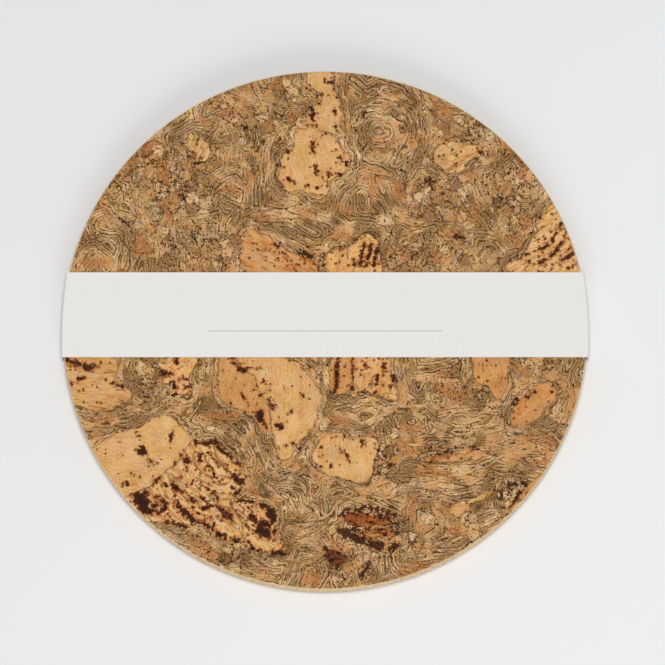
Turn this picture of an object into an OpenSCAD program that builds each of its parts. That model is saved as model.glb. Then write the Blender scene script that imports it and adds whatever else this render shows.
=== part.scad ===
// Round cork trivet with a card belly band.
// A thick board of fine pressed cork carries a decorative cork veneer, and a
// folded card band is wrapped round the two and glued to itself underneath.
// The disc's axis is Z. The band runs along X and slides off along +Y.

/* [Board] */
// Diameter of the trivet
disc_d = 220; // [180:5:250]
// Thickness of the pressed cork board
board_t = 9; // [6:0.5:14]
// Radius of the sanded edges, top and bottom
edge_r = 0.6; // [0.2:0.1:0.8]

/* [Veneer] */
// Thickness of the decorative cork veneer
veneer_t = 0.9; // [0.9:0.1:2]
// Thickness of the glue film under the veneer
film_t = 0.1; // [0.05:0.05:0.3]

/* [Band] */
// Width of the card band
band_w = 36; // [24:1:50]
// How far the band's middle lies from the disc's middle
band_offset = 6; // [0:1:12]
// Thickness of the card
card_t = 0.3; // [0.2:0.05:0.5]
// Gap between the card and the trivet, all round
band_fit = 0.15; // [0.1:0.05:0.4]
// Radius to which the folded ends bow out along the rim
bow_r = 190; // [170:5:240]
// Outside radius of the creases
crease_r = 0.6; // [0.55:0.05:1]
// How far the two underside flaps lap over each other
lap = 16; // [10:1:30]
// Length over which the outer flap steps down under the inner one
step_len = 3; // [2:0.5:6]
// Thickness of the glue line between the flaps
glue_t = 0.1; // [0.05:0.05:0.2]
// Length of the glue line along the band
glue_len = 10; // [6:1:10]
// Bare margin of card at each side of the glue line
glue_margin = 3; // [1:0.5:6]

/* [Hidden] */

// Facets of round forms in the preview
$fn = 180;
// Overrun of every cut
cut = 1;
// Curve points for each chosen point of a slab's outline
curve_steps = 3;

disc_r = disc_d / 2;
// Height of the trivet's underside over the table: two flaps, their glue and the fit
disc_z = 2 * card_t + glue_t + band_fit;
film_z = disc_z + board_t;
veneer_z = film_z + film_t;
top_z = veneer_z + veneer_t;

// The folded ends touch the rim, but for the fit, beside the band's middle
touch_angle = asin(band_offset / disc_r);
bow_back = bow_r - disc_r - band_fit;
bow_x = bow_back * cos(touch_angle);
bow_y = -bow_back * sin(touch_angle);
// Levels of the card: top panel, inner flap and outer flap
panel_z = top_z + band_fit;
inner_flap_z = card_t + glue_t;
// The lip joins a crease to the flat card beside it
lip = 2 * crease_r;
band_low = band_offset - band_w / 2;

// Colours of the cork and the card
board_tan = "#cdaa78";
film_amber = "#a88a5c";
strata_brown = "#9b7a54";
pale_cork = "#deb680";
streaked_cork = "#cf9f68";
amber_cork = "#cf9258";
dark_cork = "#4e3426";
card_white = "#e6e4de";
glue_cream = "#efe9d6";

// Outlines of the solid cork slabs, as shares of the disc's radius
crown_slab_shares = [
    [-0.06, 1.03], [0.03, 1.03], [0.03, 0.96], [0.045, 0.91], [0.06, 0.87], [0.065, 0.82],
    [0.055, 0.785], [0.038, 0.762], [0.012, 0.768], [-0.014, 0.776], [-0.032, 0.797],
    [-0.07, 0.805], [-0.07, 0.835], [-0.045, 0.865], [-0.015, 0.88], [-0.015, 0.905],
    [-0.045, 0.925], [-0.07, 0.955]
];
upper_slab_shares = [
    [-0.115, 0.775], [-0.075, 0.785], [-0.042, 0.78], [-0.02, 0.764], [0.008, 0.757],
    [0.034, 0.75], [0.052, 0.725], [0.065, 0.695], [0.09, 0.68], [0.095, 0.645],
    [0.08, 0.61], [0.045, 0.595], [0.02, 0.565], [0.015, 0.53], [-0.02, 0.515],
    [-0.06, 0.525], [-0.1, 0.535], [-0.15, 0.53], [-0.165, 0.56], [-0.185, 0.58],
    [-0.175, 0.62], [-0.17, 0.665], [-0.145, 0.69], [-0.125, 0.71], [-0.12, 0.74]
];
shoulder_slab_shares = [
    [0.415, 0.65], [0.42, 0.69], [0.44, 0.72], [0.465, 0.735], [0.5, 0.725], [0.55, 0.72],
    [0.59, 0.715], [0.605, 0.69], [0.595, 0.665], [0.56, 0.655], [0.54, 0.635], [0.53, 0.61],
    [0.5, 0.6], [0.465, 0.605], [0.445, 0.625]
];
rim_slab_shares = [
    [0.86, 0.48], [0.93, 0.5], [1.05, 0.3], [1.05, 0.17], [0.9, 0.15], [0.78, 0.17],
    [0.69, 0.22], [0.71, 0.265], [0.76, 0.29], [0.78, 0.34], [0.81, 0.38], [0.8, 0.42],
    [0.83, 0.45]
];
sand_slab_shares = [
    [-0.52, 0.76], [-0.49, 0.76], [-0.455, 0.73], [-0.435, 0.7], [-0.43, 0.665],
    [-0.455, 0.645], [-0.49, 0.65], [-0.52, 0.68], [-0.53, 0.72]
];
ridge_slab_shares = [
    [-0.315, 0.365], [-0.28, 0.39], [-0.25, 0.37], [-0.21, 0.36], [-0.18, 0.335],
    [-0.15, 0.31], [-0.12, 0.3], [-0.09, 0.285], [-0.055, 0.275], [-0.03, 0.245],
    [-0.03, 0.21], [-0.1, 0.19], [-0.2, 0.18], [-0.3, 0.2], [-0.325, 0.25], [-0.325, 0.31]
];
comb_slab_shares = [
    [0, 0.28], [0.03, 0.31], [0.08, 0.315], [0.11, 0.33], [0.13, 0.36], [0.17, 0.375],
    [0.2, 0.345], [0.205, 0.3], [0.22, 0.25], [0.21, 0.2], [0.12, 0.18], [0.03, 0.195],
    [-0.005, 0.235]
];
cheek_slab_shares = [
    [-0.8, -0.07], [-0.79, -0.16], [-0.795, -0.2], [-0.765, -0.22], [-0.735, -0.25],
    [-0.75, -0.28], [-0.8, -0.305], [-0.85, -0.32], [-0.91, -0.31], [-0.96, -0.295],
    [-1.04, -0.26], [-1.06, -0.12], [-0.93, -0.05]
];
chip_slab_shares = [
    [-0.57, -0.08], [-0.49, -0.08], [-0.485, -0.12], [-0.5, -0.155], [-0.515, -0.185],
    [-0.51, -0.22], [-0.508, -0.245], [-0.525, -0.265], [-0.555, -0.258], [-0.575, -0.24],
    [-0.568, -0.218], [-0.585, -0.203], [-0.6, -0.214], [-0.62, -0.205], [-0.612, -0.185],
    [-0.605, -0.165], [-0.635, -0.147], [-0.64, -0.13], [-0.6, -0.13], [-0.575, -0.115]
];
bar_slab_shares = [
    [-0.4, -0.07], [-0.36, -0.075], [-0.343, -0.105], [-0.33, -0.142], [-0.305, -0.167],
    [-0.274, -0.183], [-0.262, -0.223], [-0.244, -0.258], [-0.219, -0.289],
    [-0.212, -0.336], [-0.21, -0.385], [-0.235, -0.395], [-0.265, -0.355], [-0.3, -0.325],
    [-0.335, -0.305], [-0.38, -0.29], [-0.405, -0.25], [-0.41, -0.16]
];
oval_slab_shares = [
    [-0.335, -0.085], [-0.26, -0.06], [-0.19, -0.07], [-0.15, -0.112], [-0.1, -0.13],
    [-0.07, -0.165], [-0.035, -0.21], [-0.01, -0.26], [-0.025, -0.31], [-0.035, -0.36],
    [-0.06, -0.4], [-0.095, -0.43], [-0.115, -0.46], [-0.125, -0.49], [-0.155, -0.51],
    [-0.18, -0.49], [-0.195, -0.43], [-0.2, -0.38], [-0.204, -0.33], [-0.211, -0.283],
    [-0.236, -0.252], [-0.254, -0.217], [-0.266, -0.177], [-0.297, -0.161],
    [-0.322, -0.136]
];
saddle_slab_shares = [
    [-0.89, -0.455], [-0.83, -0.42], [-0.79, -0.39], [-0.74, -0.385], [-0.7, -0.375],
    [-0.665, -0.345], [-0.62, -0.33], [-0.58, -0.34], [-0.55, -0.365], [-0.52, -0.395],
    [-0.51, -0.42], [-0.53, -0.45], [-0.548, -0.485], [-0.57, -0.515], [-0.605, -0.54],
    [-0.638, -0.568], [-0.665, -0.6], [-0.705, -0.617], [-0.755, -0.64], [-0.83, -0.68],
    [-0.96, -0.5]
];
bark_slab_shares = [
    [-0.81, -0.715], [-0.75, -0.647], [-0.7, -0.624], [-0.66, -0.607], [-0.633, -0.575],
    [-0.6, -0.547], [-0.565, -0.522], [-0.543, -0.492], [-0.525, -0.457], [-0.495, -0.432],
    [-0.45, -0.427], [-0.415, -0.425], [-0.38, -0.46], [-0.34, -0.5], [-0.31, -0.53],
    [-0.305, -0.585], [-0.335, -0.625], [-0.37, -0.665], [-0.343, -0.7], [-0.323, -0.74],
    [-0.319, -0.79], [-0.36, -0.828], [-0.41, -0.8], [-0.46, -0.77], [-0.51, -0.75],
    [-0.55, -0.765], [-0.6, -0.755], [-0.66, -0.74], [-0.71, -0.77]
];
heel_slab_shares = [
    [-0.355, -0.665], [-0.32, -0.655], [-0.27, -0.66], [-0.22, -0.68], [-0.185, -0.72],
    [-0.18, -0.79], [-0.145, -0.83], [-0.155, -0.865], [-0.22, -0.86], [-0.27, -0.85],
    [-0.305, -0.83], [-0.31, -0.79], [-0.314, -0.74], [-0.334, -0.7]
];
lower_slab_shares = [
    [0, -0.41], [0.03, -0.4], [0.07, -0.4], [0.1, -0.42], [0.14, -0.415], [0.18, -0.415],
    [0.205, -0.43], [0.2, -0.47], [0.19, -0.5], [0.185, -0.53], [0.175, -0.57],
    [0.14, -0.595], [0.08, -0.58], [0.04, -0.575], [0, -0.565], [-0.02, -0.54],
    [-0.045, -0.51], [-0.05, -0.48], [-0.03, -0.44]
];
post_slab_shares = [
    [0.02, -0.08], [0.095, -0.08], [0.097, -0.15], [0.1, -0.21], [0.085, -0.243],
    [0.05, -0.255], [0.03, -0.235], [0.01, -0.22], [0.01, -0.17], [0.02, -0.12]
];
gate_slab_shares = [
    [0.112, -0.08], [0.18, -0.07], [0.245, -0.08], [0.25, -0.14], [0.258, -0.19],
    [0.278, -0.24], [0.275, -0.27], [0.25, -0.275], [0.21, -0.26], [0.16, -0.245],
    [0.13, -0.238], [0.113, -0.2], [0.108, -0.15]
];
amber_slab_shares = [
    [0.56, -0.08], [0.63, -0.07], [0.7, -0.08], [0.705, -0.14], [0.695, -0.19],
    [0.69, -0.23], [0.665, -0.27], [0.64, -0.26], [0.62, -0.225], [0.59, -0.215],
    [0.565, -0.19], [0.56, -0.14]
];
slant_slab_shares = [
    [0.7, -0.35], [0.72, -0.3], [0.76, -0.25], [0.8, -0.21], [0.84, -0.205], [0.88, -0.225],
    [0.885, -0.25], [0.87, -0.28], [0.84, -0.31], [0.81, -0.345], [0.775, -0.365],
    [0.74, -0.38], [0.715, -0.375]
];
lens_slab_shares = [
    [0.365, -0.5], [0.41, -0.485], [0.46, -0.475], [0.52, -0.48], [0.57, -0.465],
    [0.615, -0.465], [0.63, -0.485], [0.61, -0.505], [0.56, -0.51], [0.5, -0.515],
    [0.44, -0.515], [0.4, -0.515]
];
sliver_slab_shares = [
    [0.46, -0.69], [0.5, -0.67], [0.55, -0.65], [0.6, -0.63], [0.64, -0.62],
    [0.635, -0.635], [0.6, -0.66], [0.555, -0.675], [0.54, -0.7], [0.51, -0.725],
    [0.48, -0.715]
];
edge_slab_shares = [
    [0.8, -0.57], [0.77, -0.6], [0.745, -0.62], [0.73, -0.655], [0.71, -0.665],
    [0.7, -0.69], [0.72, -0.73], [0.8, -0.72], [0.88, -0.62], [0.86, -0.56]
];
rust_slab_shares = [
    [0.07, -0.725], [0.12, -0.705], [0.18, -0.715], [0.24, -0.73], [0.25, -0.745],
    [0.22, -0.755], [0.17, -0.76], [0.11, -0.76], [0.08, -0.745]
];
ember_slab_shares = [
    [0.12, -0.79], [0.17, -0.775], [0.23, -0.765], [0.27, -0.775], [0.26, -0.8],
    [0.21, -0.805], [0.16, -0.805], [0.13, -0.8]
];
dark_chip_shares = [
    [0, -0.875], [0.015, -0.845], [0.065, -0.86], [0.075, -0.885], [0.055, -0.91],
    [0.03, -0.91], [0.01, -0.89]
];

slab_outlines = [
    crown_slab_shares, upper_slab_shares, shoulder_slab_shares, rim_slab_shares,
    sand_slab_shares, ridge_slab_shares, comb_slab_shares, cheek_slab_shares,
    chip_slab_shares, bar_slab_shares, oval_slab_shares, saddle_slab_shares,
    bark_slab_shares, heel_slab_shares, lower_slab_shares, post_slab_shares,
    gate_slab_shares, amber_slab_shares, slant_slab_shares, lens_slab_shares,
    sliver_slab_shares, edge_slab_shares, rust_slab_shares, ember_slab_shares,
    dark_chip_shares
];

// Point at share t of the way from b to c on a curve that also heeds a and d
function curve_point(a, b, c, d, t) =
    b + t * (c - a) / 2
    + t * t * (2 * a - 5 * b + 4 * c - d) / 2
    + t * t * t * (3 * b - a - 3 * c + d) / 2;

// Closed smooth curve through a ring of points
function smooth_ring(points) = [
    let (n = len(points))
    for (i = [0 : n - 1], s = [0 : curve_steps - 1])
        curve_point(
            points[(i + n - 1) % n], points[i],
            points[(i + 1) % n], points[(i + 2) % n], s / curve_steps
        )
];

// Points of a quarter round of radius r about a centre, from angle start
function quarter(centre, r, start) = [
    for (a = [start : 10 : start + 90]) centre + r * [cos(a), sin(a)]
];

// Disc with a flat underside and a sanded upper edge, standing on z = 0
module sanded_disc(t) {
    rotate_extrude()
        polygon(concat(
            [[0, 0], [disc_r, 0]],
            quarter([disc_r - edge_r, t - edge_r], edge_r, 0),
            [[0, t]]
        ));
}

// Prism over a slab's outline, taller than the veneer at both ends
module slab_prism(shares) {
    translate([0, 0, -cut])
        linear_extrude(veneer_t + 2 * cut)
            polygon(disc_r * smooth_ring(shares));
}

// A solid slab of cork as thick as the veneer, trimmed by the disc's edge
module slab(shares) {
    translate([0, 0, veneer_z])
        intersection() {
            sanded_disc(veneer_t);
            slab_prism(shares);
        }
}

// Fine pressed cork, which is the body of the trivet
module core_board() {
    color(board_tan)
        translate([0, 0, film_z])
            mirror([0, 0, 1])
                sanded_disc(board_t);
}

// Glue film between the board and the veneer
module veneer_film() {
    color(film_amber)
        translate([0, 0, film_z])
            cylinder(r = disc_r, h = film_t);
}

// Swirled cork layers, with a pocket for each solid slab
module strata_veneer() {
    color(strata_brown)
        translate([0, 0, veneer_z])
            difference() {
                sanded_disc(veneer_t);
                for (outline = slab_outlines) slab_prism(outline);
            }
}

module crown_slab() { color(pale_cork) slab(crown_slab_shares); }
module upper_slab() { color(pale_cork) slab(upper_slab_shares); }
module shoulder_slab() { color(pale_cork) slab(shoulder_slab_shares); }
module rim_slab() { color(streaked_cork) slab(rim_slab_shares); }
module sand_slab() { color(pale_cork) slab(sand_slab_shares); }
module ridge_slab() { color(streaked_cork) slab(ridge_slab_shares); }
module comb_slab() { color(streaked_cork) slab(comb_slab_shares); }
module cheek_slab() { color(pale_cork) slab(cheek_slab_shares); }
module chip_slab() { color(streaked_cork) slab(chip_slab_shares); }
module bar_slab() { color(amber_cork) slab(bar_slab_shares); }
module oval_slab() { color(pale_cork) slab(oval_slab_shares); }
module saddle_slab() { color(pale_cork) slab(saddle_slab_shares); }
module bark_slab() { color(streaked_cork) slab(bark_slab_shares); }
module heel_slab() { color(streaked_cork) slab(heel_slab_shares); }
module lower_slab() { color(pale_cork) slab(lower_slab_shares); }
module post_slab() { color(amber_cork) slab(post_slab_shares); }
module gate_slab() { color(streaked_cork) slab(gate_slab_shares); }
module amber_slab() { color(amber_cork) slab(amber_slab_shares); }
module slant_slab() { color(amber_cork) slab(slant_slab_shares); }
module lens_slab() { color(amber_cork) slab(lens_slab_shares); }
module sliver_slab() { color(pale_cork) slab(sliver_slab_shares); }
module edge_slab() { color(amber_cork) slab(edge_slab_shares); }
module rust_slab() { color(amber_cork) slab(rust_slab_shares); }
module ember_slab() { color(amber_cork) slab(ember_slab_shares); }
module dark_chip() { color(dark_cork) slab(dark_chip_shares); }

// Section of one folded end: a lip on the top panel, the wall, and a lip below
module fold_section() {
    inner_r = crease_r - card_t;
    outer = bow_r + card_t;
    top = panel_z + card_t;
    polygon(concat(
        [[bow_r - lip, inner_flap_z]],
        quarter([outer - crease_r, inner_flap_z + crease_r], crease_r, 270),
        quarter([outer - crease_r, top - crease_r], crease_r, 0),
        [[bow_r - lip, top], [bow_r - lip, panel_z]],
        reversed(quarter([outer - crease_r, top - crease_r], inner_r, 0)),
        reversed(quarter([outer - crease_r, inner_flap_z + crease_r], inner_r, 270)),
        [[bow_r - lip, inner_flap_z + card_t]]
    ));
}

function reversed(points) = [for (i = [len(points) - 1 : -1 : 0]) points[i]];

// Everything that lies within the band's two long edges
module band_strip() {
    translate([-disc_d, band_low, -cut])
        cube([2 * disc_d, band_w, top_z + 3 * cut]);
}

// The folded end on the +X side, bowed along the rim
module folded_end() {
    intersection() {
        translate([-bow_x, bow_y, 0])
            rotate_extrude()
                fold_section();
        translate([0, band_low, -cut])
            cube([disc_d, band_w, top_z + 3 * cut]);
    }
}

// Flat card between the creases of both ends
module card_sheet() {
    intersection() {
        for_side(1) card_bow();
        for_side(-1) card_bow();
        translate([-disc_d, band_low, 0])
            cube([2 * disc_d, band_w, card_t]);
    }
}

// Round plate whose edge follows the middle of the lip on the +X side
module card_bow() {
    translate([-bow_x, bow_y, 0])
        cylinder(r = bow_r - lip / 2, h = card_t);
}

// The +X side as drawn, or mirrored to the -X side
module for_side(side) {
    mirror([side > 0 ? 0 : 1, 0, 0]) children();
}

// Card along X from one place to another at a level, between the band's edges
module flap(from_x, to_x, z) {
    translate([0, 0, z])
        intersection() {
            card_sheet();
            translate([from_x, band_low - cut, -cut])
                cube([to_x - from_x, band_w + 2 * cut, card_t + 2 * cut]);
        }
}

// The outer flap's step from the inner flap's level down to its own
module flap_step(from_x, to_x) {
    translate([0, band_low + band_w, 0])
        rotate([90, 0, 0])
            linear_extrude(band_w)
                polygon([
                    [from_x, 0], [to_x, inner_flap_z],
                    [to_x, inner_flap_z + card_t], [from_x, card_t]
                ]);
}

// One strip of card, folded round both ends of the trivet and lapped underneath
module band() {
    color(card_white) {
        translate([0, 0, panel_z]) card_sheet();
        for_side(1) folded_end();
        for_side(-1) folded_end();
        flap(-disc_r - cut, lap / 2, inner_flap_z);
        flap(-lap / 2, lap / 2 + step_len, 0);
        flap_step(lap / 2 + step_len, lap / 2 + 2 * step_len);
        flap(lap / 2 + 2 * step_len, disc_r + cut, inner_flap_z);
    }
}

// Line of glue that holds the lapped flaps together
module band_glue() {
    color(glue_cream)
        translate([-glue_len / 2, band_low + glue_margin, card_t])
            cube([glue_len, band_w - 2 * glue_margin, glue_t]);
}

core_board();
veneer_film();
strata_veneer();
crown_slab();
upper_slab();
shoulder_slab();
rim_slab();
sand_slab();
ridge_slab();
comb_slab();
cheek_slab();
chip_slab();
bar_slab();
oval_slab();
saddle_slab();
bark_slab();
heel_slab();
lower_slab();
post_slab();
gate_slab();
amber_slab();
slant_slab();
lens_slab();
sliver_slab();
edge_slab();
rust_slab();
ember_slab();
dark_chip();
band();
band_glue();
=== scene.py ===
import functools
import math

import bmesh
import bpy
import numpy as np
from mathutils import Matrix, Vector


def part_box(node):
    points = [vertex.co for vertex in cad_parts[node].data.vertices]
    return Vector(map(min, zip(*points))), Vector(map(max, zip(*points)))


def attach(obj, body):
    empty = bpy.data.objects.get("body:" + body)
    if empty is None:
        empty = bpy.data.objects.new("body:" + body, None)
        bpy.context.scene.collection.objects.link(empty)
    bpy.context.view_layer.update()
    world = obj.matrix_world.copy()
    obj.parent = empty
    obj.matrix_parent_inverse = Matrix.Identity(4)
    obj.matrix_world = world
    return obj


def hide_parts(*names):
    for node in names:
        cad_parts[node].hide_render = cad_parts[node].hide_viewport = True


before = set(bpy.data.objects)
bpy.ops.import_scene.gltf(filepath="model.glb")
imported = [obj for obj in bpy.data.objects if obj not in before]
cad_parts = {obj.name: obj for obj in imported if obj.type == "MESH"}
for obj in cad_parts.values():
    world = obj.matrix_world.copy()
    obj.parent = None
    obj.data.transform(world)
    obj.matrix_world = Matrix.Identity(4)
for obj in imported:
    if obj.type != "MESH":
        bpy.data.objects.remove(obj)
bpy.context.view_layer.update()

# Sizes are in millimetres, and metres are only used where a mesh, a lamp or the camera is made
MM = 0.001
DISC_R = (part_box("strata_veneer")[1].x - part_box("strata_veneer")[0].x) / 2 / MM
VENEER_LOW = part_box("strata_veneer")[0].z / MM
VENEER_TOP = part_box("strata_veneer")[1].z / MM
EDGE_R = 0.6  # the sanded round of the rim
FACE_R = DISC_R - EDGE_R
LAYER_GRID = 0.65
SLAB_GRID = 0.42
FAR = 30.0  # no distance is measured beyond this
DEEPEST_TEAR = 1.3
SEAM_GAP = 0.05

# Look of each solid slab: the cork it is cut from, the lie of its grain in degrees, how streaky it is
# and how much orange bark juice has stained it, both as shares
SLABS = {
    "crown_slab": ("pale_cork", 80, 0.15, 0.3), "upper_slab": ("pale_cork", 95, 0.1, 0.2),
    "shoulder_slab": ("pale_cork", 22, 0.9, 1.2), "rim_slab": ("streaked_cork", 35, 0.9, 0.2),
    "sand_slab": ("pale_cork", 60, 1.05, 0.7), "ridge_slab": ("streaked_cork", -25, 0.7, 1.6),
    "comb_slab": ("streaked_cork", 68, 0.75, 1.1), "cheek_slab": ("pale_cork", -12, 0.7, 1.3),
    "chip_slab": ("streaked_cork", 70, 0.7, 0.5), "bar_slab": ("amber_cork", 85, 0.3, 0.8),
    "oval_slab": ("pale_cork", 80, 0.1, 0.35), "saddle_slab": ("pale_cork", -8, 0.25, 0.2),
    "bark_slab": ("streaked_cork", -42, 1.0, 0.5), "heel_slab": ("streaked_cork", -30, 0.9, 0.4),
    "lower_slab": ("pale_cork", 100, 0.1, 0.2), "post_slab": ("amber_cork", 85, 0.6, 0.9),
    "gate_slab": ("streaked_cork", 80, 0.7, 0.5), "amber_slab": ("amber_cork", 90, 0.55, 0.8),
    "slant_slab": ("amber_cork", 50, 0.3, 0.4), "lens_slab": ("amber_cork", 8, 1.0, 1.2),
    "sliver_slab": ("pale_cork", 20, 0.8, 0.9), "edge_slab": ("amber_cork", 45, 0.9, 0.2),
    "rust_slab": ("amber_cork", 0, 1.3, 2.2), "ember_slab": ("amber_cork", 5, 1.1, 1.8),
    "dark_chip": ("dark_cork", 20, 1.2, 0.6),
}
# Small slabs, which the layers run past without lapping round them
LOOSE = ("lens_slab", "sliver_slab", "rust_slab", "ember_slab", "dark_chip", "edge_slab", "sand_slab")
# Slabs that lie against each other, with only a dark seam between them
JOINED = [
    ("crown_slab", "upper_slab"), ("saddle_slab", "bark_slab"), ("bark_slab", "heel_slab"),
    ("bar_slab", "oval_slab"), ("post_slab", "gate_slab"),
]

# Places on the face are pairs of whole thousandths of the disc's radius, right and away from the viewer.
# A stroke is half its width in mm and then the places along it.

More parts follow.
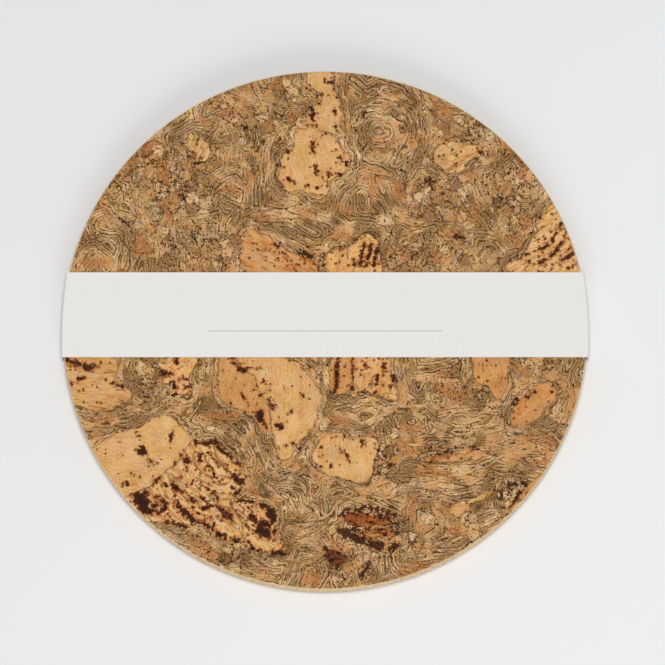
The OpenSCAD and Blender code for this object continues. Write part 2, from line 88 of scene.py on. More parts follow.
# Dark inclusions of bark
BARK_MARKS = [
    # crown and upper slabs
    (1.2, -50, 815, -48, 850), (0.8, 35, 845), (0.7, 40, 785), (0.6, 10, 905), (0.6, -30, 905, -5, 915),
    (0.8, 0, 960, 30, 960), (0.7, -80, 975), (0.5, -70, 790, -30, 790), (0.4, -10, 752), (0.4, 5, 757),
    (0.5, 15, 820), (0.4, -20, 870), (0.5, 45, 900), (0.4, -60, 930), (1.25, -47, 690, -47, 720),
    (0.9, -140, 580, -118, 562), (0.9, -30, 600, -30, 630), (0.7, -30, 545), (0.7, -63, 555),
    (0.9, 12, 595, 12, 607), (0.7, 8, 550, 8, 570), (0.9, 55, 600), (1, 60, 665, 70, 650, 80, 640),
    (0.7, 40, 695), (1, -180, 630), (0.9, -140, 690), (0.9, -165, 550), (0.4, 0, 755), (0.4, -50, 745),
    # shoulder slab
    (0.8, 455, 720), (0.6, 483, 675), (0.6, 495, 635), (0.8, 580, 715), (0.7, 595, 685),
    (0.5, 390, 575, 415, 545),
    # slab at the right of the rim
    (0.6, 890, 395, 905, 410), (0.6, 870, 355, 885, 380), (0.5, 910, 360, 925, 375),
    (0.85, 820, 255, 860, 280, 880, 300, 900, 330, 915, 345), (0.75, 810, 305, 855, 325, 870, 345),
    (0.55, 750, 275, 795, 300), (0.85, 910, 265, 945, 295), (0.6, 950, 260), (0.5, 925, 235), (0.5, 705, 265),
    (0.5, 930, 340), (0.5, 785, 370, 815, 390), (0.45, 820, 430, 830, 445), (0.5, 870, 250, 890, 265),
    (0.45, 840, 350), (0.45, 835, 245), (0.4, 900, 240), (0.45, 780, 260), (0.4, 930, 310, 940, 320),
    # slab at the left of the rim
    (1.4, -985, -120, -930, -135, -900, -150), (0.9, -880, -140, -860, -145), (0.8, -940, -195, -915, -185),
    (0.7, -965, -215), (0.8, -805, -210, -770, -225), (0.6, -925, -240),
    # saddle slab
    (2.3, -695, -470), (0.9, -695, -470, -660, -510), (0.7, -585, -400, -585, -430),
    (0.6, -770, -595, -730, -595), (0.6, -725, -560), (0.4, -780, -430), (0.4, -710, -410),
    # bark slab
    (3, -705, -650, -690, -685), (1.5, -680, -630), (1.3, -670, -700, -630, -705, -610, -690),
    (1, -620, -650, -605, -670), (0.8, -660, -675, -640, -680), (0.7, -650, -650, -630, -645),
    (1, -565, -660, -555, -685), (1.4, -555, -685, -530, -710, -500, -735),
    (1, -600, -745, -560, -750, -530, -760), (1, -490, -740, -450, -755, -430, -770),
    (1.2, -410, -785, -380, -800), (0.9, -380, -800, -360, -815, -330, -810),
    (1.1, -460, -690, -420, -680, -390, -700), (1.8, -375, -710, -365, -725), (0.7, -650, -592, -630, -572),
    (1, -610, -595, -570, -605, -540, -625), (0.8, -510, -650, -500, -660),
    (0.6, -470, -600, -440, -620, -410, -650, -400, -665), (0.5, -500, -580, -510, -600),
    (1.2, -475, -487, -472, -508), (1.3, -530, -500, -520, -515), (0.9, -570, -515), (0.8, -550, -485),
    (0.9, -490, -437, -450, -440), (1.2, -450, -440, -420, -435, -400, -460), (1.2, -400, -460, -370, -490),
    (0.7, -370, -490, -350, -510, -320, -525), (0.5, -450, -480, -410, -510, -380, -540, -360, -560),
    (1.5, -350, -570, -320, -585), (0.5, -430, -540, -420, -570, -400, -590), (0.7, -445, -560),
    (0.7, -350, -610), (0.8, -345, -640, -330, -630), (0.6, -460, -530, -445, -530), (0.6, -420, -620),
    (0.6, -470, -650, -460, -660), (0.7, -440, -720, -430, -730), (0.5, -390, -630), (0.6, -550, -570),
    (0.5, -530, -550), (0.5, -480, -710), (0.6, -570, -640), (0.6, -600, -710), (0.5, -360, -750),
    (0.6, -350, -770), (0.6, -400, -740), (0.5, -500, -690), (0.7, -420, -750),
    # heel slab
    (0.6, -330, -660, -270, -665, -240, -680), (1, -240, -680, -210, -695), (1.9, -207, -700, -200, -735),
    (1.7, -280, -720, -260, -745, -220, -750), (2.3, -250, -775, -220, -790), (0.8, -190, -760, -190, -800),
    (0.7, -300, -810, -270, -845), (0.7, -270, -845, -220, -855), (1.3, -200, -860, -165, -860),
    (0.6, -300, -750, -290, -770), (0.6, -290, -690), (0.5, -310, -690, -300, -700), (0.5, -260, -700),
    (0.6, -170, -820), (0.5, -280, -790),
    # bar and oval slabs
    (0.7, -360, -115, -340, -135), (1.1, -325, -152, -305, -162), (0.4, -300, -150, -250, -150),
    (0.5, -320, -250, -305, -270, -295, -300), (0.6, -360, -285), (1.9, -252, -325, -243, -345),
    (1, -235, -360, -222, -380), (1.3, -207, -280, -195, -300), (1.9, -172, -375), (0.8, -235, -200),
    (0.5, -210, -235, -230, -245, -260, -260), (0.6, -87, -250, -83, -265), (0.9, -120, -440),
    (0.7, -110, -450, -100, -460), (0.7, -150, -448), (0.6, -90, -180), (0.6, -158, -225), (0.6, -60, -160),
    (0.5, -130, -320), (0.5, -190, -460), (0.5, -280, -240, -270, -230),
    # chip slab
    (0.9, -570, -115, -568, -135), (0.7, -530, -125), (0.9, -552, -148), (1, -620, -165, -600, -175),
    (1, -600, -175, -580, -170), (0.7, -558, -197, -545, -193, -530, -195), (0.9, -580, -210, -570, -225),
    (1, -530, -225, -515, -212), (0.6, -512, -240), (0.6, -590, -250, -570, -255),
    # lower slab and the crumbs beside it
    (0.5, 55, -415), (0.6, 70, -415), (0.8, -15, -490), (0.5, -20, -472), (0.5, -15, -458), (0.8, -20, -530),
    (0.6, 20, -530), (0.8, 60, -460, 90, -490), (0.6, 95, -510), (0.5, 135, -430, 155, -450),
    (0.4, 150, -430, 140, -450), (0.5, 205, -465), (0.5, 190, -440), (0.5, 225, -490), (0.5, 250, -475),
    (0.5, 245, -520), (0.5, 215, -530), (0.4, 200, -500), (0.4, 235, -455),
    # post and gate slabs
    (0.9, 50, -100, 45, -180, 40, -240), (0.7, 105, -90, 106, -160, 105, -240), (0.8, 150, -135, 165, -145),
    (0.5, 155, -105), (0.7, 190, -245), (0.7, 220, -125, 230, -160), (0.9, 260, -180, 260, -200),
    (0.7, 250, -220), (0.8, 150, -240), (0.8, 200, -180, 195, -210),
    # slant and amber slabs
    (0.7, 720, -290, 735, -275), (0.6, 765, -265, 800, -240), (0.5, 740, -325), (0.6, 865, -240),
    (0.6, 680, -190), (0.5, 620, -120), (0.5, 600, -170),
    # ridge and comb slabs
    (0.7, -240, 305, -220, 305), (0.7, -180, 275), (0.6, -155, 280), (0.7, -135, 265), (0.7, -100, 250),
    (0.6, -115, 235), (0.8, -190, 330, -155, 290), (0.8, -100, 300, -60, 280), (0.7, 112, 250, 110, 265),
    (0.7, 115, 340, 120, 345), (0.9, 132, 245, 150, 330), (0.9, 158, 245, 176, 325),
    (0.85, 185, 250, 200, 315), (0.8, 60, 310), (0.7, 65, 285), (0.7, 0, 250), (0.7, -20, 265),
    # sand slab, then lens, rust and ember slabs
    (0.5, -525, 690, -500, 682), (0.5, -525, 667, -495, 660), (0.5, -500, 645, -475, 638), (0.5, -470, 700),
    (0.5, -545, 720), (0.5, 400, -455), (0.5, 460, -475, 480, -470), (0.5, 520, -455),
    (0.5, 560, -460, 570, -450), (0.5, 430, -480), (0.5, 500, -450), (0.95, 100, -700, 140, -695),
    (0.95, 190, -720, 210, -725), (0.85, 160, -740, 190, -745), (0.95, 240, -735, 260, -750),
    (0.95, 140, -765, 165, -767), (0.95, 200, -785, 230, -790), (0.85, 250, -780),
    (0.95, 90, -735, 110, -745), (0.85, 55, -715, 100, -690), (0.85, 140, -685, 200, -690),
    (0.85, 220, -700, 265, -720), (0.85, 270, -755), (0.75, 110, -770, 140, -775), (0.75, 120, -715),
    (0.75, 155, -715), (0.75, 200, -700), (0.75, 225, -735), (0.75, 85, -710), (0.75, 175, -695),
    (0.75, 215, -770), (0.75, 245, -765), (0.75, 160, -775), (0.85, 270, -780), (0.75, 120, -750),
    # lower right edge and lower middle
    (0.75, 665, -660, 668, -630), (0.6, 695, -650, 695, -625), (0.7, 695, -600, 725, -600),
    (0.7, 745, -590, 765, -600), (0.75, 742, -625, 725, -650, 715, -670), (0.5, 705, -685), (0.5, 675, -690),
    (0.4, 710, -620), (0.4, 680, -610), (1.9, 55, -775, 80, -790, 140, -815), (1.9, 175, -825, 205, -830),
    (1.9, 255, -840, 265, -835), (1.2, 140, -960), (1, 0, -845, 30, -860), (0.9, 50, -865, 70, -872),
    (0.8, 45, -900, 50, -915), (0.5, 70, -900), (0.5, 20, -930), (0.6, -5, -870), (1, 70, -955),
    (1.1, 300, -740), (0.9, 170, -900, 140, -940),
    # loose chips in the upper half
    (0.9, -440, 545), (0.6, -680, 640, -660, 650), (0.6, -560, 530, -530, 500), (0.6, -350, 790),
    (0.6, -310, 770, -290, 790), (0.7, 330, 860), (0.5, 290, 620, 310, 600), (0.6, 700, 600), (0.6, 620, 520),
    (0.5, 340, 450, 370, 440), (0.6, -770, 420), (0.6, -600, 340, -580, 310), (0.6, -500, 420),
    (0.5, 500, 360, 530, 350),
]
# Chips of orange and of cream cork set in the layers
ORANGE_CHIPS = [
    (3, -625, 640, -610, 580), (2.2, -130, 840, -120, 810), (1.8, -480, 815, -450, 805),
    (2.2, 430, 870, 470, 830), (1.8, 570, 480, 575, 450), (2.2, -900, 250, -860, 250),
    (2, 440, -170, 470, -170), (2.6, -70, -960, -30, -965), (2.6, 430, -230, 480, -250, 520, -270),
    (1.5, -280, 440, -220, 430), (2, -860, 490, -840, 470), (1.8, -280, -620, -260, -640),
    (2, 50, 470, 90, 450), (2, 660, 740, 700, 700), (2, -700, 360, -710, 300), (1.8, 20, 360, 80, 360),
    (1.8, -760, 640, -730, 645), (2, 740, -430, 790, -420), (2, -680, 700, -650, 720),
    (2.4, 280, -440, 330, -470), (1.8, 830, -420, 860, -440), (1.7, 800, -510, 830, -520),
    (1.7, 10, -800, 50, -830), (1.6, 70, -720, 120, -710), (1.5, 200, -700, 260, -720),
    (1.4, 180, -770, 260, -760), (1.5, -520, 400, -500, 390), (2.2, 180, 580, 180, 530),
    (1.5, 110, 900, 140, 880), (2.1, 280, 560, 290, 500), (1.6, -380, 550, -330, 530),
    (1.6, -430, 650, -400, 650), (1.8, -400, 845, -330, 845), (1.8, 480, 380, 510, 350),
    (2.1, 720, 350, 740, 320), (2.1, 750, 600, 770, 620), (2.1, 750, 430, 780, 410),
    (2.1, 310, -375, 350, -380), (2.1, 330, -660, 330, -720), (1.8, 300, -930, 360, -910),
    (1.5, 20, -830, 60, -850), (1.9, 440, -790, 500, -770), (1.9, 360, -540, 460, -560),
    (2.1, -450, -335, -350, -330), (2.1, -500, -820, -420, -860), (1.5, 860, -460),
    (1.6, 450, -690, 470, -680), (1.6, -190, 950, -170, 930), (1.4, -300, 600, -280, 590),
    (1.6, 300, 290, 320, 270), (1.8, 410, 290, 430, 260), (1.8, 30, -350, 90, -370),
    (1.6, -600, 450, -590, 430), (1.6, 550, 600, 560, 570), (1.7, -860, -350, -800, -350),
]
CREAM_CHIPS = [
    (2.6, -720, 540, -690, 490), (2.3, -400, 400, -370, 390), (1.6, 410, -370, 450, -380),
    (1.3, 500, -360, 560, -355), (1.6, 360, -120, 400, -130), (1.2, -350, -410, -310, -430),
    (2.2, -250, 880, -230, 850), (1.5, -320, 910, -280, 900), (1.6, -800, 470, -770, 455),
    (2, -560, 440, -540, 420), (1.8, 270, 460, 300, 440), (1.6, -500, 430, -460, 400),
    (1.8, -635, 380, -630, 300), (1.6, -550, 300, -530, 290), (2, 330, 600, 370, 600),
    (1.6, 230, 370, 250, 360), (1.4, 310, 370), (1.8, 450, 460, 480, 450), (1.4, 365, 275),
    (2, 180, 660, 240, 660), (2.2, 680, 420, 680, 380), (1.8, 790, 530, 820, 520), (1.5, 670, 580),
    (1.2, 650, 520), (2.4, 570, 260, 580, 240), (1.4, 500, -430, 560, -435), (1.6, 770, -130, 810, -140),
    (1.5, 420, -710, 450, -740), (1.8, -490, -760, -460, -790), (1.2, -440, -810, -410, -840),
    (1.4, 325, -870), (1, 20, -600, 0, -640, 0, -680), (1.4, -475, -170, -480, -220),
    (1.4, -680, -150, -700, -170), (1.2, -60, -830, 0, -850), (1, 683, -600, 688, -630),
    (0.9, 700, -665, 712, -655), (0.8, 720, -630), (1.3, 450, -280, 500, -290), (1.2, 660, -390, 700, -380),
    (1.3, 130, -620, 180, -630),
]
# Patches of grey-olive layers, pressed hard and dark
GREY_PATCHES = [
    (1.8, -570, 750, -565, 720), (1.6, -690, 570, -700, 550), (1.5, -750, 350, -740, 330), (1.2, -620, 650),
    (1.6, 120, 840, 140, 870, 170, 900), (1.3, 110, 800, 120, 780), (1.4, 150, 930, 130, 950),
    (1.6, 310, -530, 340, -520), (1.4, 620, -600), (1.5, 300, -740, 310, -760), (1.4, 290, -870),
    (2.2, 800, -340, 870, -380), (1.2, -490, 620, -460, 615), (1.3, -385, 520, -390, 500),
    (1.8, -420, 460, -370, 460), (2.4, -310, 780, -250, 750), (1.6, -175, 920, -160, 900),
    (3.4, -750, -200, -680, -220), (3, -460, -300, -400, -330), (2.6, -370, -870, -320, -880),
    (1.6, 620, 420, 600, 380), (1.8, 440, 400, 380, 340), (1.6, 280, 380, 300, 330),
    (1.8, 780, 480, 800, 450), (1.5, 660, 500, 640, 460), (1.8, 580, 830, 610, 790),
    (1.5, 300, 600, 290, 550), (1.6, 550, -270, 580, -290), (1.8, 340, -220, 360, -260),
    (1.6, 680, -320, 720, -350), (1.5, -260, 460, -240, 500), (1.8, -240, -360, -220, -440),
    (1.8, 240, -360, 300, -330), (1.2, -280, 650, -265, 500, -250, 420, -130, 370, 20, 400, 100, 470),
    (2, 250, 840, 330, 880), (1.6, 300, 780, 360, 800), (1.6, 200, 470, 170, 420), (1.5, 130, 500, 120, 460),
    (1.5, 360, 680, 340, 630), (1.6, 520, -660, 560, -680), (1.7, 260, -560, 300, -570),
    (1.5, -90, -600, -80, -560), (1.7, 80, -890, 100, -870),
]
# Lines that the layers run along: the places along each, with no width
BED_LINES = [
    # upper left
    (-930, 240, -910, 270, -880, 290, -850, 270, -830, 240),
    (-700, 220, -690, 300, -700, 380, -720, 440, -770, 480, -830, 540),
    (-640, 220, -645, 320, -650, 400, -665, 470, -670, 530, -650, 600, -640, 680),
    (-590, 220, -600, 300, -600, 380, -620, 420), (-840, 400, -780, 370, -760, 300, -780, 220),
    (-370, 220, -360, 300, -340, 370, -300, 410, -200, 430, -100, 410, -40, 370),
    (-300, 460, -200, 470, -100, 460, 0, 440, 80, 400, 140, 400),
    (-240, 460, -240, 550, -230, 630, -220, 700, -200, 760, -150, 800, -90, 810),
    (-290, 460, -290, 540, -280, 610, -260, 680, -250, 760, -220, 830, -220, 900, -260, 960),
    (-460, 830, -420, 870, -360, 870, -300, 850, -260, 830), (-420, 910, -340, 890, -290, 870),
    (-570, 730, -500, 770, -460, 750, -430, 700, -420, 640, -460, 610),
    (-440, 500, -410, 560, -350, 580, -300, 540, -300, 480), (-500, 560, -530, 620, -540, 700),
    (-370, 490, -330, 470, -340, 420, -370, 360, -400, 280), (-160, 980, -150, 910, -170, 850),
    # upper right
    (100, 800, 130, 860, 200, 880, 270, 870, 320, 830, 340, 770, 320, 700, 270, 640),
    (220, 930, 280, 910, 340, 870, 370, 820, 385, 760, 370, 700, 330, 650),
    (70, 900, 90, 830, 85, 760, 105, 700, 120, 640, 100, 580, 60, 550, 30, 500, 20, 450),
    (140, 630, 200, 610, 250, 600), (200, 580, 240, 500, 270, 430, 340, 410, 420, 420, 520, 370),
    (300, 500, 310, 580, 350, 630, 410, 640, 470, 600, 500, 540, 480, 480, 420, 460, 350, 460),
    (630, 740, 640, 670, 600, 640, 565, 620, 560, 560, 580, 500, 620, 450, 650, 400),
    (580, 220, 565, 290, 590, 340, 650, 340, 690, 300), (120, 380, 170, 400, 210, 380, 240, 300, 250, 220),
    (280, 380, 330, 340, 360, 300, 350, 220), (420, 370, 460, 330, 500, 280, 530, 220),
    (720, 630, 760, 560, 820, 490), (460, 780, 520, 780, 580, 750), (110, 970, 160, 930, 200, 950),
    (140, 520, 150, 470, 200, 450), (670, 620, 700, 560, 720, 500, 690, 450),
    # lower left
    (-460, -310, -400, -330, -340, -340, -290, -370, -250, -420, -230, -490, -210, -540, -150, -560, -90,
     -530),
    (-480, -370, -420, -370, -360, -390, -310, -430, -280, -490, -280, -550, -250, -600, -200, -640),
    (-450, -100, -455, -180, -460, -250, -490, -310, -520, -350), (-420, -390, -360, -430, -310, -500),
    (-680, -130, -660, -200, -650, -260, -600, -290, -540, -310), (-760, -120, -750, -170, -700, -240),
    (-970, -340, -880, -350, -800, -340, -720, -310, -640, -310, -580, -320),
    (-950, -400, -860, -390, -780, -370, -700, -350), (-680, -790, -600, -790, -520, -800, -450, -830),
    (-420, -850, -360, -860, -320, -870, -280, -890, -200, -900, -140, -880),
    (-500, -870, -420, -890, -340, -920, -260, -945, -180, -960),
    # lower middle
    (0, -700, -10, -650, 10, -610, 50, -600, 100, -605, 160, -620, 220, -650, 290, -680),
    (30, -720, 45, -670, 90, -650, 150, -660, 210, -690, 270, -710, 300, -750),
    (-200, -580, -120, -590, -80, -610, -70, -660, -30, -690), (-200, -650, -140, -670, -120, -710),
    (-160, -800, -100, -790, -50, -770, 0, -740, 30, -710), (-150, -740, -80, -740, -40, -720),
    (-160, -980, -120, -900, -90, -870, -40, -870, 0, -890, 20, -940, 10, -1000),
    (-160, -860, -120, -820, -70, -810, -20, -830, 20, -870), (80, -980, 120, -920, 100, -860),
    (0, -300, 60, -290, 120, -270, 200, -280, 280, -300),
    (0, -390, 80, -380, 150, -390, 200, -380, 240, -340),
    # lower right
    (300, -100, 295, -180, 300, -250, 340, -280, 380, -280, 400, -240, 440, -200, 500, -200),
    (330, -100, 340, -160, 400, -150, 460, -140, 500, -120),
    (540, -100, 530, -170, 540, -240, 580, -280, 630, -280),
    (240, -310, 320, -310, 380, -310, 420, -340, 460, -330, 500, -310, 560, -320, 640, -310, 700, -280, 730,
     -220, 730, -100),
    (240, -340, 260, -390, 300, -410, 350, -410, 390, -385, 380, -330),
    (400, -350, 470, -380, 550, -380, 620, -370, 680, -340),
    (240, -430, 350, -430, 450, -410, 550, -415, 650, -400, 710, -400),
    (360, -460, 420, -455, 500, -445, 580, -440, 650, -430, 700, -410, 780, -400, 860, -405, 900, -440),
    (640, -460, 700, -470, 780, -460, 860, -490),
    (300, -530, 380, -535, 460, -540, 540, -540, 600, -525, 650, -500, 700, -510, 760, -540, 830, -550),
    (180, -600, 240, -575, 320, -570, 400, -575, 460, -580, 520, -585, 580, -580, 630, -560, 680, -560, 740,
     -570, 800, -585),
    (260, -640, 300, -610, 360, -610, 420, -625, 500, -635, 570, -620, 620, -595, 670, -585),
    (300, -740, 300, -690, 330, -640, 400, -650), (520, -740, 560, -700, 610, -665, 660, -620),
    (390, -810, 450, -750, 520, -760, 580, -740, 640, -710), (360, -860, 420, -840, 500, -820, 560, -790),
    (930, -120, 910, -200, 930, -280, 910, -360), (860, -100, 880, -170, 910, -250),
    (740, -160, 800, -170, 840, -150), (760, -390, 820, -360, 880, -320),
]
# Rosettes, where the slice went through the top of a bump in the layers: place, then radius in mm
ROSETTES = [
    (210, 765, 11), (-400, 745, 7), (-300, 670, 5), (629, 267, 5), (325, -870, 3.5), (400, 545, 4.5),
    (330, -360, 5),
]
# Zones where the layers were crushed to chips and crumbs: place, then reach across and along
CRUSHED_ZONES = [
    (-580, 520, 160, 200), (-340, 800, 120, 60), (-460, 320, 120, 100), (720, 530, 100, 160),
    (450, 500, 120, 100), (350, 290, 200, 70), (220, -480, 60, 100), (100, -900, 120, 60), (-680, -190, 70, 90),
    (700, -630, 70, 60), (300, -820, 100, 50), (-800, 560, 80, 80), (580, -240, 40, 50), (450, -250, 80, 50),
    (-150, 900, 60, 80), (820, -140, 100, 60), (420, -720, 80, 50), (-350, -880, 120, 40), (550, 780, 100, 50),
]


def linear(hex_colour):
    """Linear RGBA from a colour written as sRGB hex"""
    shares = [int(hex_colour[i:i + 2], 16) / 255 for i in (1, 3, 5)]
    return [s / 12.92 if s <= 0.04045 else ((s + 0.055) / 1.055) ** 2.4 for s in shares] + [1]


def add(tree, kind, feeds=(), stops=(), **settings):
    """One node with its settings. A kind is the node's type, where a shader node's goes without its first part, and
    its operation if it has one. Feeds are values, hex colours, or nodes and sockets to link: in the order of the
    inputs, or by input. Stops fill a colour ramp."""
    kind, _, operation = kind.partition(" ")
    node = tree.nodes.new(kind if "Node" in kind else "ShaderNode" + kind)
    if operation:
        node.operation = operation
    for name, value in settings.items():
        setattr(node, name, value)
    for place, value in feeds.items() if isinstance(feeds, dict) else enumerate(feeds):
        if isinstance(value, bpy.types.Node):
            value = value.outputs[0]
        if isinstance(value, bpy.types.NodeSocket):
            tree.links.new(value, node.inputs[place])
        else:
            is_colour = isinstance(value, str) and value.startswith("#")
            node.inputs[place].default_value = linear(value) if is_colour else value
    for i, (position, colour) in enumerate(stops):
        ramp = node.color_ramp.elements
        element = ramp[i] if i < len(ramp) else ramp.new(position)
        element.position = position
        element.color = linear(colour)
    return node


def stand(name, data):
    """An object of a mesh, a camera or a lamp, in the scene"""
    made = bpy.data.objects.new(name, data)
    bpy.context.scene.collection.objects.link(made)
    return made


# ---- heights, gaps and outlines of the veneer, worked out in millimetres ----

def swell(points, size, seed):
    """Smooth random values from -1 to 1, in swells of a size in mm"""
    table = np.random.default_rng(seed).uniform(-1, 1, (256, 256))
    steps = points / size
    cell = np.floor(steps).astype(int)
    share = steps - cell
    share = share * share * (3 - 2 * share)
    x, y = cell.T % 256
    right, up = (x + 1) % 256, (y + 1) % 256
    low = table[x, y] * (1 - share[:, 0]) + table[right, y] * share[:, 0]
    high = table[x, up] * (1 - share[:, 0]) + table[right, up] * share[:, 0]
    return low * (1 - share[:, 1]) + high * share[:, 1]


def ease(values, low, high):
    """0 below low, 1 above high, and a smooth step between"""
    share = np.clip((values - low) / (high - low), 0, 1)
    return share * share * (3 - 2 * share)


def in_mm(places):
    """Places in mm, from thousandths of the radius"""
    return np.array(places) / 1000 * DISC_R


def outline_of(node):
    """Edges of the top face of a CAD slab, as pairs of points in mm"""
    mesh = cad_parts[node].data
    corners = np.array([v.co for v in mesh.vertices]) / MM
    top = corners[:, 2] > VENEER_TOP - 0.01
    keys = {}
    names = [keys.setdefault(tuple(np.round(c[:2], 3)), len(keys)) for c in corners]
    places = np.array(list(keys))
    seen = {}
    for face in mesh.polygons:
        ring = list(face.vertices)
        if all(top[i] for i in ring):
            for a, b in zip(ring, ring[1:] + ring[:1]):
                pair = frozenset((names[a], names[b]))
                seen[pair] = seen.get(pair, 0) + 1
    return np.array([places[sorted(pair)] for pair, count in seen.items() if count == 1 and len(pair) == 2])


OUTLINES = {node: outline_of(node) for node in SLABS}


def gap_to(node, points):
    """Distance in mm from each point to a slab's outline, negative inside it, and FAR where it is well away.
    The outline's edges on the rim don't count, so a slab runs on over the rim"""
    edges = OUTLINES[node]
    gap = np.full(len(points), FAR)
    low, high = edges.min((0, 1)) - FAR, edges.max((0, 1)) + FAR
    close = np.flatnonzero(((points > low) & (points < high)).all(1))
    free = edges[(np.linalg.norm(edges, axis=2) < FACE_R - 0.02).any(1)]
    for part in np.array_split(close, max(1, len(close) // 4000)):
        p = points[part]
        radius = np.linalg.norm(p, axis=1, keepdims=True)
        held = p * np.minimum(1, (FACE_R - 0.15) / np.maximum(radius, 1e-6))
        a, b = free[None, :, 0], free[None, :, 1]
        along = ((p[:, None] - a) * (b - a)).sum(2) / ((b - a) ** 2).sum(2)
        nearest = a + np.clip(along, 0, 1)[..., None] * (b - a)
        distance = np.linalg.norm(p[:, None] - nearest, axis=2).min(1)
        a, b = edges[None, :, 0], edges[None, :, 1]
        y = held[:, 1:2]
        spans = (a[..., 1] > y) != (b[..., 1] > y)
        with np.errstate(divide="ignore", invalid="ignore"):
            cross = a[..., 0] + (y - a[..., 1]) / (b[..., 1] - a[..., 1]) * (b[..., 0] - a[..., 0])
        inside = (spans & (held[:, :1] < cross)).sum(1) % 2 == 1
        gap[part] = np.where(inside, -distance, np.minimum(distance, FAR))
    return gap


def stroke_gap(points, strokes):
    """Distance in mm from each point to the nearest of a list of strokes, negative inside one"""
    gap = np.full(len(points), FAR)
    for half_width, *path in strokes:
        ends = in_mm(path if len(path) > 2 else path * 2).reshape(-1, 2)
        for a, b in zip(ends[:-1], ends[1:]):
            along = np.clip(((points - a) @ (b - a)) / max((b - a) @ (b - a), 1e-9), 0, 1)
            reach = np.linalg.norm(points - a - along[:, None] * (b - a), axis=1)
            gap = np.minimum(gap, reach - half_width)
    return gap


def crushed_at(points):
    """How crushed the layers are at each point, as a share"""
    crushed = np.zeros(len(points))
    for zone in np.array(CRUSHED_ZONES) / 1000:
        off = (points / DISC_R - zone[:2]) / zone[2:]
        crushed = np.maximum(crushed, np.exp(-(off ** 2).sum(1)))
    return crushed


def layer_height(points, gaps, bed):
    """How deep in mm each point lies in its bed: the layers lap round slabs and rosettes and run along bed lines"""
    around = -np.log(np.exp(-np.maximum(gaps, 0)).sum(0))
    height = np.minimum(around, bed + 3)
    for u, v, radius in ROSETTES:
        reach = np.linalg.norm((points - in_mm([u, v])) * [1, 1.1], axis=1)
        reach = reach + 0.9 * swell(points, 4, 28) + 0.45 * swell(points, 1.8, 30)
        share = 1 - ease(reach, 0.7 * radius, 1.15 * radius)
        height = height * (1 - share) + share * (1.3 * radius - reach)
    waves = 0.6 * swell(points, 5, 27) + 0.2 * swell(points, 2.5, 29)
    return height + ease(gaps.min(0), 0.2, 3) * waves


def slab_gaps(points):
    """Distance to every slab's crumbled edge, one row each. Slabs that lie together grow until they meet"""
    crumbled = 0.2 + 0.5 * swell(points, 2.8, 11) + 0.75 * swell(points, 1.5, 12)
    back = np.clip(crumbled, 0.02, DEEPEST_TEAR)
    plain = {node: gap_to(node, points) for node in SLABS}
    jagged = 0.5 * swell(points, 1.2, 14) + 0.3 * swell(points, 2.6, 15)
    gaps = {node: gap + back + (jagged if node in LOOSE else 0) for node, gap in plain.items()}
    wander = 0.3 * swell(points, 2, 13)
    for one, other in JOINED:
        for node, mate, side in ((one, other, 1), (other, one, -1)):
            seam = (plain[node] - plain[mate]) / 2 + SEAM_GAP + wander * side
            neck = np.maximum(plain[node], plain[mate]) - 2.2
            gaps[node] = np.minimum(gaps[node], np.maximum(seam, neck))
    return gaps


# ---- meshes ----

def cut_grid(low, high, spacing, field):
    """Grid from low to high, kept where the field is negative, with its border drawn on to the field's zero line"""
    x, y = (np.arange(math.floor(a / spacing), math.ceil(b / spacing) + 1) * spacing for a, b in zip(low, high))
    shape = (len(x), len(y))
    points = np.stack(np.meshgrid(x, y, indexing="ij"), -1).reshape(-1, 2)
    value = field(points).reshape(shape)
    slope = np.stack(np.gradient(value, spacing), -1).reshape(-1, 2)
    value = value.ravel()
    near = np.abs(value) < 0.55 * spacing
    steep = np.maximum((slope ** 2).sum(1), 0.3)
    points[near] -= (value / steep)[near, None] * slope[near]
    kept = (value < 0) | near
    index = np.arange(len(points)).reshape(shape)
    rings = np.stack([index[:-1, :-1], index[1:, :-1], index[1:, 1:], index[:-1, 1:]], -1).reshape(-1, 4)
    held = kept[rings]
    whole, cut = held.sum(1) == 4, held.sum(1) == 3
    faces = [list(r) for r in rings[whole]] + [list(r[h]) for r, h in zip(rings[cut], held[cut])]
    sized = []
    for face in faces:
        p = points[face]
        area = 0.5 * abs(np.dot(p[:, 0], np.roll(p[:, 1], -1)) - np.dot(p[:, 1], np.roll(p[:, 0], -1)))
        if area > 0.12 * spacing ** 2:
            sized.append(face)
    used = np.unique(np.concatenate(sized))
    places = np.full(len(points), -1)
    places[used] = np.arange(len(used))
    return points[used], [[int(places[i]) for i in face] for face in sized]


